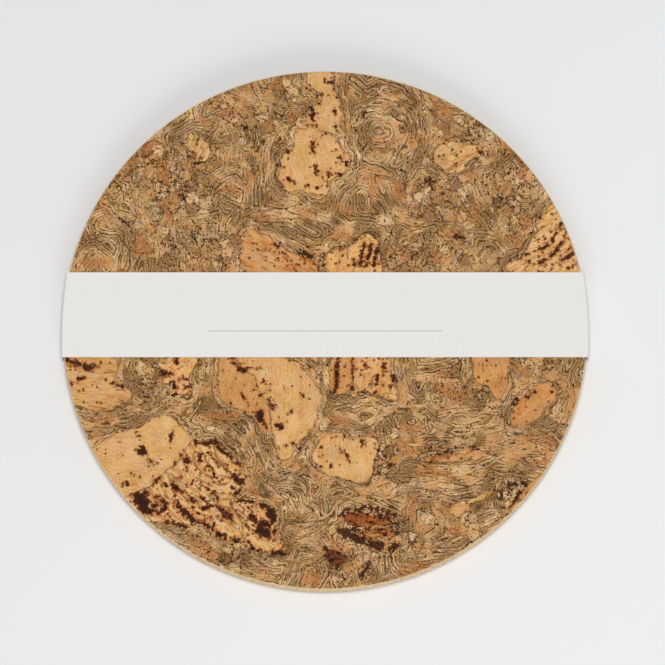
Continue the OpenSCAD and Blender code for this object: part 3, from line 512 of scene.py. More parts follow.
def solid_sheet(name, points, faces, sink, attributes):
    """Closed sheet of veneer: a top face that sinks a little from the finished level, its walls and underside"""
    sides = dict.fromkeys(side for face in faces for side in zip(face, face[1:] + face[:1]))
    border = [(a, b) for a, b in sides if (b, a) not in sides]
    rim_points = sorted({p for side in border for p in side})
    place = {p: i for i, p in enumerate(rim_points)}
    ring = points[rim_points]
    radius = np.linalg.norm(ring, axis=1)
    at_rim = radius > FACE_R - 0.08
    outward = ring / np.maximum(radius, 1e-6)[:, None]
    rows = [np.column_stack([points, VENEER_TOP - sink])]
    # Three rows go down the wall: over the sanded edge at the rim, and straight down in a pocket
    thick = VENEER_TOP - VENEER_LOW
    for turn, fall, depth in ((45, EDGE_R * (1 - math.sqrt(0.5)), 0.3), (90, EDGE_R, 0.6), (90, thick, thick)):
        rounded = outward * (FACE_R + EDGE_R * math.sin(math.radians(turn)))
        xy = np.where(at_rim[:, None], rounded, ring)
        rows.append(np.column_stack([xy, VENEER_TOP - np.where(at_rim, fall, depth)]))

    def corner(row, p):
        return len(points) + (row - 1) * len(rim_points) + place[p] if row else p

    walls = [
        (corner(row, b), corner(row, a), corner(row + 1, a), corner(row + 1, b))
        for row in range(3) for a, b in border
    ]
    mesh = bpy.data.meshes.new(name)
    mesh.from_pydata(np.concatenate(rows) * MM, [], faces + walls)
    for key, values in attributes.items():
        layer = mesh.attributes.new(key, "FLOAT", "POINT")
        full = np.concatenate([values] + [values[rim_points]] * 3)
        layer.data.foreach_set("value", full.astype(np.float32))
    work = bmesh.new()
    work.from_mesh(mesh)
    open_edges = [e for e in work.edges if e.is_boundary]
    bmesh.ops.triangle_fill(work, edges=open_edges, use_beauty=True, normal=Vector((0, 0, -1)))
    for face in work.faces:
        if max(v.co.z for v in face.verts) < (VENEER_LOW + 0.01) * MM and face.normal.z > 0:
            face.normal_flip()
    for face in work.faces:
        face.smooth = face.normal.z > 0.5
    work.to_mesh(mesh)
    work.free()
    return stand(name, mesh)


def strata_sheet():
    """The swirled layers, with a pocket for each slab"""
    def field(points):
        nearest = np.min(list(slab_gaps(points).values()), axis=0)
        return np.maximum(-nearest, np.linalg.norm(points, axis=1) - FACE_R)

    reach = np.array([FACE_R + 1, FACE_R + 1])
    points, faces = cut_grid(-reach, reach, LAYER_GRID, field)
    gaps = slab_gaps(points)
    lapped = np.array([gap for node, gap in gaps.items() if node not in LOOSE])
    bed = stroke_gap(points, [(0, *line) for line in BED_LINES])
    layer = layer_height(points, lapped, bed)
    mark = stroke_gap(points, BARK_MARKS) + 0.5 * swell(points, 1.6, 31)
    seam = np.maximum(np.min(list(gaps.values()), axis=0), 0)
    sink = 0.05 + 0.03 * np.sin(layer * 4.3) + 0.02 * swell(points, 1.4, 32)
    sink += 0.07 * np.exp(-seam / 0.5) + 0.16 * (1 - ease(mark, -0.5, 0.3))
    return solid_sheet("strata_layers", points, faces, sink, {
        "layer": layer, "seam": seam, "mark": mark, "crushed": crushed_at(points),
        "orange": stroke_gap(points, ORANGE_CHIPS), "cream": stroke_gap(points, CREAM_CHIPS),
        "grey": stroke_gap(points, GREY_PATCHES),
    })


def slab_sheet(node):
    """One solid slab of cork, seated in its pocket"""
    cork, lie, streaks, stain = SLABS[node]

    def field(points):
        return np.maximum(slab_gaps(points)[node], np.linalg.norm(points, axis=1) - FACE_R)

    edges = OUTLINES[node]
    points, faces = cut_grid(edges.min((0, 1)) - 2, edges.max((0, 1)) + 2, SLAB_GRID, field)
    seam = np.maximum(-slab_gaps(points)[node], 0)
    mark = stroke_gap(points, BARK_MARKS) + 0.5 * swell(points, 1.5, 33) + 0.4 * swell(points, 0.9, 34)
    turn = math.radians(lie)
    curl = 3.6 * streaks * swell(points, 12, 38)
    sink = 0.03 + 0.02 * swell(points, 2.5, 35) + 0.015 * swell(points, 1, 36)
    sink += 0.08 * np.exp(-seam / 0.35) + 0.2 * (1 - ease(mark, -0.4, 0.25))
    return solid_sheet(node.replace("_slab", "") + "_cork", points, faces, sink, {
        "seam": seam, "mark": mark,
        "along": points @ [math.cos(turn), math.sin(turn)],
        "across": points @ [-math.sin(turn), math.cos(turn)] + curl,
        "streak": np.full(len(points), streaks), "stain": np.full(len(points), stain),
    })


# ---- crumbs of bark, strewn with Geometry Nodes ----

def crumb_tree():
    """Strews lumps over the layers, in drifts and where these were crushed, and seats them in the face"""
    tree = bpy.data.node_groups.new("strewn_crumbs", "GeometryNodeTree")
    for name, kind in (
        ("Layers", "Geometry"), ("Crumbs per square metre", "Float"), ("Smallest", "Vector"), ("Largest", "Vector"),
        ("Raggedness", "Float"), ("Seed", "Int"), ("Bark", "Material"),
    ):
        tree.interface.new_socket(name, in_out="INPUT", socket_type="NodeSocket" + kind)
    tree.interface.new_socket("Crumbs", in_out="OUTPUT", socket_type="NodeSocketGeometry")
    put = functools.partial(add, tree)
    given = put("NodeGroupInput").outputs
    crushed, seam = (
        next(out for out in put("GeometryNodeInputNamedAttribute", {"Name": key}).outputs if out.enabled)
        for key in ("crushed", "seam")
    )
    # Drifts 10 mm across
    drift = put("TexNoise", {"Scale": 95, "Detail": 2})
    drift = put("MapRange", [drift, 0.5, 0.65, 0.12, 0.7])
    thick = put("Math ADD", [drift, crushed])
    thick = put("Math MULTIPLY", [thick, given["Crumbs per square metre"]])
    # Only on the face, and clear of the slabs
    up = put("SeparateXYZ", [put("GeometryNodeInputNormal")]).outputs[2]
    up = put("Math GREATER_THAN", [up, 0.9])
    clear = put("Math GREATER_THAN", [seam, 0.7])
    clear = put("Math MULTIPLY", [up, clear])
    strewn = put("GeometryNodeDistributePointsOnFaces", {
        "Mesh": given["Layers"], "Selection": clear, "Density": thick, "Seed": given["Seed"],
    })
    lump = put("GeometryNodeMeshIcoSphere", {"Radius": 0.5, "Subdivisions": 1})
    size, turn = (
        put("FunctionNodeRandomValue", {0: low, 1: high, "Seed": given["Seed"]}, data_type="FLOAT_VECTOR")
        for low, high in ((given["Smallest"], given["Largest"]), ((0, 0, 0), (0, 0, math.tau)))
    )
    placed = put("GeometryNodeInstanceOnPoints", {
        "Points": strewn.outputs["Points"], "Instance": lump.outputs["Mesh"], "Rotation": turn, "Scale": size,
    })
    solid = put("GeometryNodeRealizeInstances", [placed])
    chipped = put("TexNoise", {"Scale": 1700, "Detail": 1}).outputs["Color"]
    chipped = put("VectorMath SUBTRACT", [chipped, (0.5, 0.5, 0.5)])
    chipped = put("VectorMath MULTIPLY", [chipped, (1, 1, 0)])
    chipped = put("VectorMath SCALE", {0: chipped, "Scale": given["Raggedness"]})
    shaped = put("GeometryNodeSetPosition", {"Geometry": solid, "Offset": chipped})
    painted = put("GeometryNodeSetMaterial", {"Geometry": shaped, "Material": given["Bark"]})
    put("NodeGroupOutput", {"Crumbs": painted})
    return tree


def bark_crumbs(layers, bark):
    """Crumbs of dark bark, 0.4 to 1.3 mm long, pressed into the layers"""
    strewn = stand("strewn", layers.data)
    modifier = strewn.modifiers.new("crumbs", "NODES")
    modifier.node_group = crumb_tree()
    sizes = {
        "Crumbs per square metre": 80000.0, "Smallest": (0.4 * MM, 0.3 * MM, 0.08 * MM),
        "Largest": (1.3 * MM, 0.8 * MM, 0.12 * MM), "Raggedness": 0.7 * MM, "Seed": 21, "Bark": bark,
    }
    for socket in modifier.node_group.interface.items_tree:
        if socket.name in sizes:
            modifier[socket.identifier] = sizes[socket.name]
    graph = bpy.context.evaluated_depsgraph_get()
    mesh = bpy.data.meshes.new_from_object(strewn.evaluated_get(graph), depsgraph=graph)
    bpy.data.objects.remove(strewn)
    mesh.name = "bark_crumbs"
    # The material reads a crumb as bark that is well inside a slab
    for key, value in (("seam", 3.0), ("mark", -1.0)):
        layer = mesh.attributes.get(key) or mesh.attributes.new(key, "FLOAT", "POINT")
        layer.data.foreach_set("value", np.full(len(mesh.vertices), value, np.float32))
    return stand("bark_crumbs", mesh)


# ---- materials: lengths in their textures are in millimetres, and a scale is one over a length ----

def new_material(name):
    """A bare material, and what adds a node to it"""
    material = bpy.data.materials.new(name)
    material.use_nodes = True
    material.node_tree.nodes.clear()
    return material, functools.partial(add, material.node_tree)


def finish_surface(put, base, roughness, height=None, strength=0.0, depth=0.2, shine=0.1):
    """Ends a material with its surface, and with the fine relief of a height, to a depth in mm"""
    feeds = {"Base Color": base, "Roughness": roughness, "IOR": 1.45, "Specular IOR Level": shine}
    if height is not None:
        feeds["Normal"] = put("Bump", {"Height": height, "Strength": strength, "Distance": depth * MM})
    put("OutputMaterial", {"Surface": put("BsdfPrincipled", feeds)})


def place_in_mm(put):
    """Object coordinates in millimetres"""
    return put("VectorMath SCALE", {0: put("TexCoord").outputs["Object"], "Scale": 1 / MM})


def fetched(put, *keys):
    """The values that the mesh carries under these names"""
    return [put("Attribute", attribute_name=key).outputs["Fac"] for key in keys]


def weighted(put, start, *parts):
    """A value with parts added to it, each times its weight"""
    for part, weight in parts:
        start = put("Math MULTIPLY_ADD", [part, weight, start])
    return start


def laid_over(put, base, colour, value, span, *others):
    """A base with a colour laid over it. How much shows follows a value, as MapRange maps it over the span, times
    the others"""
    share = put("MapRange", [value, *span])
    for other in others:
        share = put("Math MULTIPLY", [share, other])
    return put("MixRGB", [share, base, colour])


def tones_of(put, place, count, rounding, spread, scale, roughness):
    """Three random values for each whole number of a count, which drift along its layer"""
    number = put("Math " + rounding, [count])
    number = put("Math MULTIPLY", [number, spread])
    drift = {"Vector": place, "W": number, "Scale": scale, "Detail": 2, "Roughness": roughness}
    tone = put("TexNoise", drift, noise_dimensions="4D")
    return put("SeparateColor", [tone.outputs["Color"]]).outputs


def sanded_rim(put, place, base):
    """The veneer's sanded edge, 0.6 mm wide, where the cut cork shows pale cream"""
    flat = put("VectorMath MULTIPLY", [place, (1, 1, 0)])
    reach = put("VectorMath LENGTH", [flat]).outputs["Value"]
    return laid_over(put, base, "#e6cda4", reach, (FACE_R + 0.1, FACE_R + 0.45, 0, 0.85))


def tinted(put, place, base, size):
    """Lets a cork's hue drift between peach, straw and grey, in clouds of a size in mm"""
    clouds = put("TexNoise", {"Vector": place, "Scale": 1 / size, "Detail": 3, "Roughness": 0.6})
    tint = put("VectorMath MULTIPLY_ADD", [clouds.outputs["Color"], (0.35, 0.1, 1.1), (0.825, 0.95, 0.45)])
    return put("MixRGB", [1, base, tint], blend_type="MULTIPLY")


LAYERS_PER_MM = 0.76
BEDS_PER_LAYER = 0.37
CHIPS_PER_MM = 0.215


def strata_material():
    """Composite cork: layers of bark cork pressed in a block, sliced across and sanded, left bare.
    It gives the eye a contour map of tan, orange and cream layers, with fine olive-brown lines and dark crumbs."""
    material, put = new_material("sanded_strata_cork")
    place = place_in_mm(put)
    depth, seam, mark, orange, cream, grey, crush = fetched(
        put, "layer", "seam", "mark", "orange", "cream", "grey", "crushed")
    crumple = put("TexNoise", {"Vector": place, "Scale": 0.22, "Detail": 1.5, "Roughness": 0.5})
    torn = put("TexNoise", {"Vector": place, "Scale": 0.6, "Detail": 3, "Roughness": 0.6})
    # Grain of crushed cork, 0.5 to 1 mm
    grain = put("TexNoise", {"Vector": place, "Scale": 1.3, "Detail": 2, "Roughness": 0.7})
    # Crushed zones hold chips of 2 to 5 mm, no two alike, and the layers of each lie in a direction of their own
    bent = put("VectorMath MULTIPLY_ADD", [grain.outputs["Color"], (0.8, 0.8, 0), place])
    bent = put("VectorMath MULTIPLY_ADD", [torn.outputs["Color"], (3.4, 3.4, 0), bent])
    chip = put("TexVoronoi", {"Vector": bent, "Scale": CHIPS_PER_MM}).outputs["Color"]
    pick = put("SeparateColor", [chip]).outputs
    crushed = weighted(put, crush, (pick[1], 0.7))
    crushed = put("MapRange", [crushed, 0.72, 0.78])
    lean = put("VectorMath MULTIPLY_ADD", [chip, (3.2, 3.2, 0), (-1.6, -1.6, 0)])
    own = put("VectorMath DOT_PRODUCT", [place, lean]).outputs["Value"]
    turned = put("Math SUBTRACT", [own, depth])
    # The layers are crumpled by 1 mm and torn by a few tenths, and more where they were crushed
    crumpled = weighted(put, 1.5, (crush, 4))
    frayed = weighted(put, 0.7, (crush, 1))
    folded = weighted(put, depth, (crushed, turned), (crumple, crumpled), (torn, frayed))
    # Layers are about 1.3 mm thick. Each has its own tone, which drifts along it
    slow = put("TexNoise", {"Vector": place, "Scale": 0.05, "Detail": 1})
    slow = put("Math MULTIPLY", [slow, 6])
    count = weighted(put, slow, (folded, LAYERS_PER_MM))
    tones = tones_of(put, place, count, "FLOOR", 5.37, 0.13, 0.6)
    value = weighted(put, grain, (tones[0], 1.6))
    value = put("MapRange", [value, 0.98, 1.62])
    base = put("ValToRGB", [value], stops=[
        (0.0, "#8e6033"), (0.25, "#b38251"), (0.5, "#ca9d6b"), (0.75, "#d8ae7c"), (1.0, "#edc899"),
    ])
    # Some layers are orange, where bark juice soaked in
    base = laid_over(put, base, "#cb9158", tones[1], (0.53, 0.66, 0, 0.55))
    # Zones 8 to 12 mm wide where the block was pressed hard: olive-grey, with close dark lines
    zone = put("TexNoise", {"Vector": place, "Scale": 0.09, "Detail": 2, "Roughness": 0.5})
    patch = put("MapRange", [grey, 0, 2.2, 0.3, 0])
    zone = put("Math ADD", [zone, patch])
    dense = put("MapRange", [zone, 0.46, 0.66])
    pressed = put("Math MULTIPLY", [dense, tones[2]])
    base = put("MixRGB", [pressed, base, "#8f7146"])
    # Thick beds of 3 to 4 mm, cut from one flake of bark each: plain tan, orange or cream lenses with few lines
    beds = put("Math MULTIPLY", [count, BEDS_PER_LAYER])
    bed = tones_of(put, place, beds, "FLOOR", 4.13, 0.11, 0.5)
    thick = weighted(put, bed[0], (dense, -0.07))
    thick = put("MapRange", [thick, 0.545, 0.57])
    flake = weighted(put, bed[1], (grain, 0.3))
    flake = put("ValToRGB", [flake], stops=[
        (0.46, "#a06f40"), (0.56, "#c18e5a"), (0.64, "#d0965c"), (0.72, "#d0a06a"), (0.84, "#e4bd88"),
    ])
    share = put("Math MULTIPLY", [thick, 0.78])
    base = put("MixRGB", [share, base, flake])
    # The chips of the crushed zones have a tone each and a dark outline
    chip_tone = put("ValToRGB", [pick[2]], stops=[
        (0.0, "#7c5733"), (0.22, "#b07b49"), (0.45, "#d0985f"), (0.7, "#ddad78"), (1.0, "#eccb98"),
    ])
    share = put("Math MULTIPLY", [crushed, 0.72])
    base = put("MixRGB", [share, base, chip_tone])
    rim = put("TexVoronoi", {"Vector": bent, "Scale": CHIPS_PER_MM}, feature="DISTANCE_TO_EDGE")
    partly = put("MapRange", [torn, 0.4, 0.56, 0.1, 1])
    base = laid_over(put, base, "#452c14", rim.outputs["Distance"], (0.02, 0.09, 0.9, 0), partly, crushed)
    # Chips set in the layers, with torn edges. Layers that are bare show few lines
    speck = put("MapRange", [grain, 0.36, 0.62])
    bare = put("Math MULTIPLY", [crushed, 0.3])
    bare = put("Math MAXIMUM", [thick, bare])
    for gap, light, dark in ((orange, "#d38d54", "#985a30"), (cream, "#e0b67e", "#b98c57")):
        gap = weighted(put, gap, (torn, 8), (grain, 2.4))
        inside = put("MapRange", [gap, 4.9, 5.2, 0.72, 0])
        speckled = put("MixRGB", [speck, dark, light])
        base = put("MixRGB", [inside, base, speckled])
        bare = put("Math MAXIMUM", [bare, inside])
    lined = weighted(put, 1, (bare, -0.68))
    # Dark lines where layers meet, 0.4 mm wide, broken, and fading in and out along their length. Beside some of
    # them runs a cream line, a painted highlight on the lip of the layer
    fades = tones_of(put, place, count, "ROUND", 7.71, 0.2, 0.6)
    off = put("Math PINGPONG", [count, 0.5])
    highlight_end = put("MapRange", [off, 0.34, 0.46, 1, 0])
    lip_highlight = put("MapRange", [fades[1], 0.48, 0.6, 0, 0.85])
    base = laid_over(put, base, "#e2c497", off, (0.22, 0.32), highlight_end, lip_highlight, lined)
    broken = put("TexNoise", {"Vector": place, "Scale": 0.75, "Detail": 2, "Roughness": 0.6})
    broken = put("MapRange", [broken, 0.36, 0.52, 0.45, 1])
    ink = put("ValToRGB", [grain], stops=[(0.34, "#2a1708"), (0.5, "#5a3a1c"), (0.66, "#8c6336")])
    seen = weighted(put, fades[0], (dense, 0.12))
    seen = put("MapRange", [seen, 0.4, 0.54, 0.15, 1])
    base = laid_over(put, base, ink, off, (0.08, 0.2, 0.95, 0), seen, lined, broken)
    # A finer and more broken set between them
    off = weighted(put, tones[1], (count, 2.4))
    off = put("Math PINGPONG", [off, 0.5])
    worn = weighted(put, fades[2], (dense, 0.14))
    worn = put("MapRange", [worn, 0.48, 0.58, 0.05])
    base = laid_over(put, base, ink, off, (0.12, 0.3, 0.9, 0), worn, lined)
    # The strongest lines are where thick beds meet
    off = put("Math PINGPONG", [beds, 0.5])
    strong = put("MapRange", [fades[1], 0.44, 0.56])
    base = laid_over(put, base, "#3a2410", off, (0.03, 0.1, 0.95, 0), strong, broken)
    # Crumbs of dark bark, 0.3 to 0.9 mm, in drifts and along the seams
    crumb = put("TexNoise", {"Vector": place, "Scale": 0.95, "Detail": 2.5, "Roughness": 0.6})
    drift = put("TexNoise", {"Vector": place, "Scale": 0.12, "Detail": 2})
    close = put("MapRange", [seam, 0, 2.5, 0.05, 0])
    picked = weighted(put, crumb, (drift, 0.35), (crush, 0.05), (close, 1), (bare, 0.025))
    base = laid_over(put, base, "#301708", picked, (0.825, 0.855, 0, 0.92))
    # Marks of hard dark bark
    rough_mark = weighted(put, mark, (torn, 6), (grain, 2.6))
    bark = put("ValToRGB", [grain], stops=[(0.38, "#1f0d07"), (0.5, "#361709"), (0.64, "#5a2f18")])
    base = laid_over(put, base, bark, rough_mark, (4.1, 4.4, 0.95, 0))
    base = sanded_rim(put, place, tinted(put, place, base, 3.5))
    finish_surface(put, base, 0.82, value, 0.6)
    return material


def slab_material(name, light, middle, shade, juice, cream):
    """Solid cork cut along the bark and sanded, left bare: a soft pale ground with mottles of 4 to 8 mm, fine pores,
    orange bark juice in the grain, and hard dark bark at the marks"""
    material, put = new_material(name)
    place = place_in_mm(put)
    seam, mark, along, across, streak, stain = fetched(put, "seam", "mark", "along", "across", "streak", "stain")
    # Grain runs along the slab, in streaks 6 mm long and 1.3 mm wide
    long_way = put("Math MULTIPLY", [along, 0.16])
    cross_way = put("Math MULTIPLY", [across, 0.75])
    lie = put("CombineXYZ", [long_way, cross_way, 3])
    streaks = put("TexNoise", {"Vector": lie, "Scale": 1, "Detail": 3, "Roughness": 0.6, "Distortion": 0.4})
    cloud = put("TexNoise", {"Vector": place, "Scale": 0.16, "Detail": 3, "Roughness": 0.6})
    fine = put("TexNoise", {"Vector": place, "Scale": 1.3, "Detail": 2.5, "Roughness": 0.7})
    speckle = put("TexNoise", {"Vector": place, "Scale": 2.5, "Detail": 1, "Roughness": 0.6})
    value = weighted(put, cloud, (streaks, 0.6), (fine, 1.5), (speckle, 1.1))
    value = put("MapRange", [value, 1.72, 2.48])
    base = put("ValToRGB", [value], stops=[(0.0, shade), (0.45, middle), (0.9, light)])
    # Cloudy patches of yellow-green cream, 4 mm across
    bent = put("VectorMath MULTIPLY_ADD", [fine.outputs["Color"], (1.8, 1.8, 1.8), place])
    pale = put("TexNoise", {"Vector": bent, "Scale": 0.24, "Detail": 3, "Roughness": 0.6})
    base = laid_over(put, base, cream, pale, (0.5, 0.68, 0, 0.45))
    # Growth lines run with the grain, bowed by 2 to 3 mm and faint in places. They are 1.6 mm apart. In the
    # streakiest slabs they are 2.5 mm apart and dark, and there is a pale band between every other two
    bow = weighted(put, across, (cloud, 9), (fine, 0.9))
    strong = put("MapRange", [streak, 0.75, 1])
    pitch = weighted(put, 0.8, (strong, 0.45))
    growth = put("Math PINGPONG", [bow, pitch])
    soft = {"Vector": place, "Scale": 0.09, "Detail": 2, "W": 4}
    faint = put("MapRange", [put("TexNoise", soft, noise_dimensions="4D"), 0.44, 0.62, 0, 0.5])
    plain = weighted(put, 0.75, (streak, 0.6))
    line = put("MixRGB", [strong, "#ac7238", "#7c4822"])
    base = laid_over(put, base, line, growth, (0.1, 0.4, 1, 0), faint, plain)
    band = put("Math PINGPONG", [bow, 2.5])
    base = laid_over(put, base, cream, band, (1.35, 1.8, 0, 0.8), strong)
    # Orange juice soaked in along the grain
    soaked = put("TexNoise", {"Vector": lie, "Scale": 0.45, "Detail": 3, "Roughness": 0.6})
    base = laid_over(put, base, juice, soaked, (0.48, 0.7), stain)
    # The most stained chips have turned rust brown
    rusty = put("Math SUBTRACT", [stain, 1.2])
    patches = weighted(put, fine, (cloud, 1.2))
    patches = put("MapRange", [patches, 1, 1.12, 0, 0.75])
    rusty = put("Math MULTIPLY", [rusty, patches], use_clamp=True)
    base = put("MixRGB", [rusty, base, "#924b26"])
    # Thin brown streaks, more of them where the slab is streaky
    thin = weighted(put, streaks, (streak, 0.2))
    base = laid_over(put, base, "#6b3d1a", thin, (0.7, 0.82, 0, 0.75))
    # Pores, 0.3 to 0.9 mm
    pore = put("TexVoronoi", {"Vector": bent, "Scale": 0.55})
    pick = put("SeparateColor", [pore.outputs["Color"]])
    close = put("MapRange", [mark, 0.5, 4, 0.22, 0])
    stained = put("MapRange", [stain, 1.5, 2.2, 0, 0.28])
    chance = weighted(put, pick, (streak, 0.3), (close, 1), (stained, 1))
    chance = put("MapRange", [chance, 0.74, 1.15, 0, 0.45])
    pores = put("Math SUBTRACT", [chance, pore.outputs["Distance"]])
    base = laid_over(put, base, "#66340f", pores, (0, 0.07, 0, 0.85))
    # The torn edge is darker in places, 0.5 mm wide
    edge = weighted(put, seam, (fine, -1))
    coarse = put("TexNoise", {"Vector": place, "Scale": 0.6, "Detail": 3, "Roughness": 0.7})
    patchy = put("MapRange", [coarse, 0.4, 0.56])
    base = laid_over(put, base, "#7a4f28", edge, (-0.5, 0.35, 0.6, 0), patchy)
    # Marks of bark, with a halo of juice round them
    torn = weighted(put, mark, (coarse, 5), (fine, 1.5))
    base = laid_over(put, base, "#b0602a", torn, (3.1, 4.1, 0.42, 0))
    bark = weighted(put, torn, (fine, 1.4))
    bark = put("MapRange", [bark, 2.6, 4.1])
    bark = put("ValToRGB", [bark], stops=[(0.0, "#260d06"), (0.5, "#4b200f"), (1.0, "#8a5230")])
    base = laid_over(put, base, bark, torn, (2.9, 3.3, 0.97, 0))
    base = sanded_rim(put, place, tinted(put, place, base, 5))
    finish_surface(put, base, 0.72, value, 0.45)
    return material


def board_material():
    """Pressed cork board: fine granules of 0.6 to 2 mm bonded under heat and cut to a disc.
    It gives the eye an even warm tan, speckled with paler and darker granules."""
    material, put = new_material("pressed_cork")
    place = place_in_mm(put)
    bend = put("TexNoise", {"Vector": place, "Scale": 1.2, "Detail": 2}).outputs["Color"]
    bent = put("VectorMath ADD", [bend, place])
    granule = put("TexVoronoi", {"Vector": bent, "Scale": 0.85})
    pick = put("SeparateColor", [granule.outputs["Color"]]).outputs
    base = put("ValToRGB", [pick[0]], stops=[
        (0.0, "#cda473"), (0.12, "#deba8a"), (0.5, "#e8cea3"), (0.85, "#eed8b3"), (1.0, "#f4e5c8"),
    ])
    joint = put("TexVoronoi", {"Vector": bent, "Scale": 0.85}, feature="DISTANCE_TO_EDGE")
    base = laid_over(put, base, "#8a6238", joint.outputs["Distance"], (0, 0.08, 0.4, 0))
    # A granule in twenty is dark bark
    base = laid_over(put, base, "#5b3719", pick[1], (0.95, 0.97, 0, 0.75))
    fine = put("TexNoise", {"Vector": place, "Scale": 2.5, "Detail": 3})
    rise = weighted(put, fine, (granule.outputs["Distance"], -0.6))
    finish_surface(put, base, 0.8, rise, 0.5)
    return material


def glue_material(name, colour, dark):
    """Dried glue film, slightly glossy and uneven, drawn coarser than it is so that it shows"""
    material, put = new_material(name)
    ripple = put("TexNoise", {"Vector": place_in_mm(put), "Scale": 0.8, "Detail": 3})
    base = put("ValToRGB", [ripple], stops=[(0.3, dark), (0.7, colour)])
    finish_surface(put, base, 0.45, ripple, 0.3, 0.1)
    return material


def card_material():
    """Uncoated white card of about 300 g: matt, with a faint mottle of fibre clouds 1 to 4 mm across and one fine
    printed rule"""
    material, put = new_material("white_card")
    place = place_in_mm(put)
    cloud = put("TexNoise", {"Vector": place, "Scale": 0.35, "Detail": 4, "Roughness": 0.65})
    # Fibres lie along the strip
    fibre = put("VectorMath MULTIPLY", [place, (0.5, 2.2, 2.2)])
    fibre = put("TexNoise", {"Vector": fibre, "Scale": 1.2, "Detail": 3, "Roughness": 0.7})
    mottle = put("Math ADD", [cloud, fibre])
    base = put("ValToRGB", [mottle], stops=[(0.35, "#dddbd7"), (1.0, "#e6e4e0")])
    # A hairline rule on the top panel, 99 mm long and 0.3 mm wide, a little below the middle of the disc
    x, y, z = put("SeparateXYZ", [place]).outputs
    in_length = put("Math COMPARE", [x, -0.2, 49.3])
    in_width = put("Math COMPARE", [y, -0.9, 0.15])
    on_top = put("Math GREATER_THAN", [z, 10.5])
    base = laid_over(put, base, "#9b9a98", on_top, (0, 1, 0, 0.75), in_length, in_width)
    finish_surface(put, base, 0.62, fibre, 0.12, 0.1)
    return material


# ---- the card band ----

CARD_T = 0.3
BAND_W = 36
BAND_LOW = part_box("band")[0].y / MM
BOW_R = 190.15
BOW_X, BOW_Y = 79.731, -4.355  # how far off the middle the bow of an end is struck from
CREASE_MID_R = 0.45
PANEL_MID_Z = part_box("band")[1].z / MM - CARD_T / 2
INNER_FLAP_MID_Z = 0.55
OUTER_FLAP_MID_Z = CARD_T / 2
LAP = 8
STEP_LEN = 3


def crease(x, z, first):
    """A quarter turn of the card's middle round a crease, from an angle in degrees and clockwise"""
    turns = [math.radians(first - turn) for turn in range(15, 91, 15)]
    return [(x + CREASE_MID_R * math.cos(turn), z + CREASE_MID_R * math.sin(turn)) for turn in turns]


def card_path(y):
    """Section of the band's middle: inner flap, left end, top panel, right end, outer flap"""
    reach = -BOW_X + math.sqrt(BOW_R ** 2 - (y - BOW_Y) ** 2)
    flat = reach - CREASE_MID_R
    low, high = INNER_FLAP_MID_Z + CREASE_MID_R, PANEL_MID_Z - CREASE_MID_R
    path = [(x, INNER_FLAP_MID_Z) for x in np.linspace(LAP, -flat, 48)]
    path += crease(-flat, low, -90)
    path += [(-reach, z) for z in np.linspace(low, high, 8)[1:]]
    path += crease(-flat, high, 180)
    path += [(x, PANEL_MID_Z) for x in np.linspace(-flat, flat, 96)[1:]]
    path += crease(flat, high, 90)
    path += [(reach, z) for z in np.linspace(high, low, 8)[1:]]
    path += crease(flat, low, 0)
    step_in, step_out = LAP + 2 * STEP_LEN, LAP + STEP_LEN
    path += [(x, INNER_FLAP_MID_Z) for x in np.linspace(flat, step_in, 44)[1:]]
    for x in np.linspace(step_in, step_out, 7)[1:]:
        share = ease(x, step_out, step_in)
        path.append((x, OUTER_FLAP_MID_Z + share * (INNER_FLAP_MID_Z - OUTER_FLAP_MID_Z)))
    path += [(x, OUTER_FLAP_MID_Z) for x in np.linspace(step_out, -LAP, 10)[1:]]
    return np.array(path)


def card_band():
    """One strip of card, with a thickness all round"""
    shell = []
    for y in np.linspace(BAND_LOW, BAND_LOW + BAND_W, 25):
        path = card_path(y)
        tangent = np.gradient(path, axis=0)
        tangent /= np.linalg.norm(tangent, axis=1, keepdims=True)
        normal = np.column_stack([tangent[:, 1], -tangent[:, 0]]) * CARD_T / 2
        shell.append([
            np.column_stack([side[:, 0], np.full(len(path), y), side[:, 1]])
            for side in (path - normal, path + normal)
        ])
    shell = np.array(shell)
    wide, sheets, length = shell.shape[:3]
    index = np.arange(wide * sheets * length).reshape(wide, sheets, length)
    faces = []
    for i in range(length - 1):
        for k in range(wide - 1):
            faces.append((index[k, 0, i], index[k, 0, i + 1], index[k + 1, 0, i + 1], index[k + 1, 0, i]))
            faces.append((index[k, 1, i], index[k + 1, 1, i], index[k + 1, 1, i + 1], index[k, 1, i + 1]))
        faces.append((index[0, 0, i], index[0, 1, i], index[0, 1, i + 1], index[0, 0, i + 1]))
        faces.append((index[-1, 0, i], index[-1, 0, i + 1], index[-1, 1, i + 1], index[-1, 1, i]))
    for k in range(wide - 1):
        faces.append((index[k, 0, 0], index[k + 1, 0, 0], index[k + 1, 1, 0], index[k, 1, 0]))
        faces.append((index[k, 0, -1], index[k, 1, -1], index[k + 1, 1, -1], index[k + 1, 0, -1]))
    mesh = bpy.data.meshes.new("card_belly_band")
    mesh.from_pydata(shell.reshape(-1, 3) * MM, [], [[int(i) for i in f] for f in faces])
    work = bmesh.new()
    work.from_mesh(mesh)
    bmesh.ops.recalc_face_normals(work, faces=work.faces)
    work.to_mesh(mesh)
    work.free()
    mesh.shade_smooth()
    mesh.set_sharp_from_angle(angle=math.radians(50))
    return stand("card_belly_band", mesh)


# ---- the scene, where places are in metres ----

CAMERA_TILT = 81  # degrees above the floor
CAMERA_BACK_M = 3.4
CAMERA_LENS = 439
CAMERA_AIM_M = (0.0031, -0.0015, 0.0109)
FLOOR_HALF_M = 8
# Each lamp: its size, watts and place
LAMPS = {
    "ceiling": ((0.3, 0.3), 17.5, (0.02, -0.05, 2.0)),
    "window": ((3.8, 2.6), 80, (0.4, -4.3, 3.0)),
}


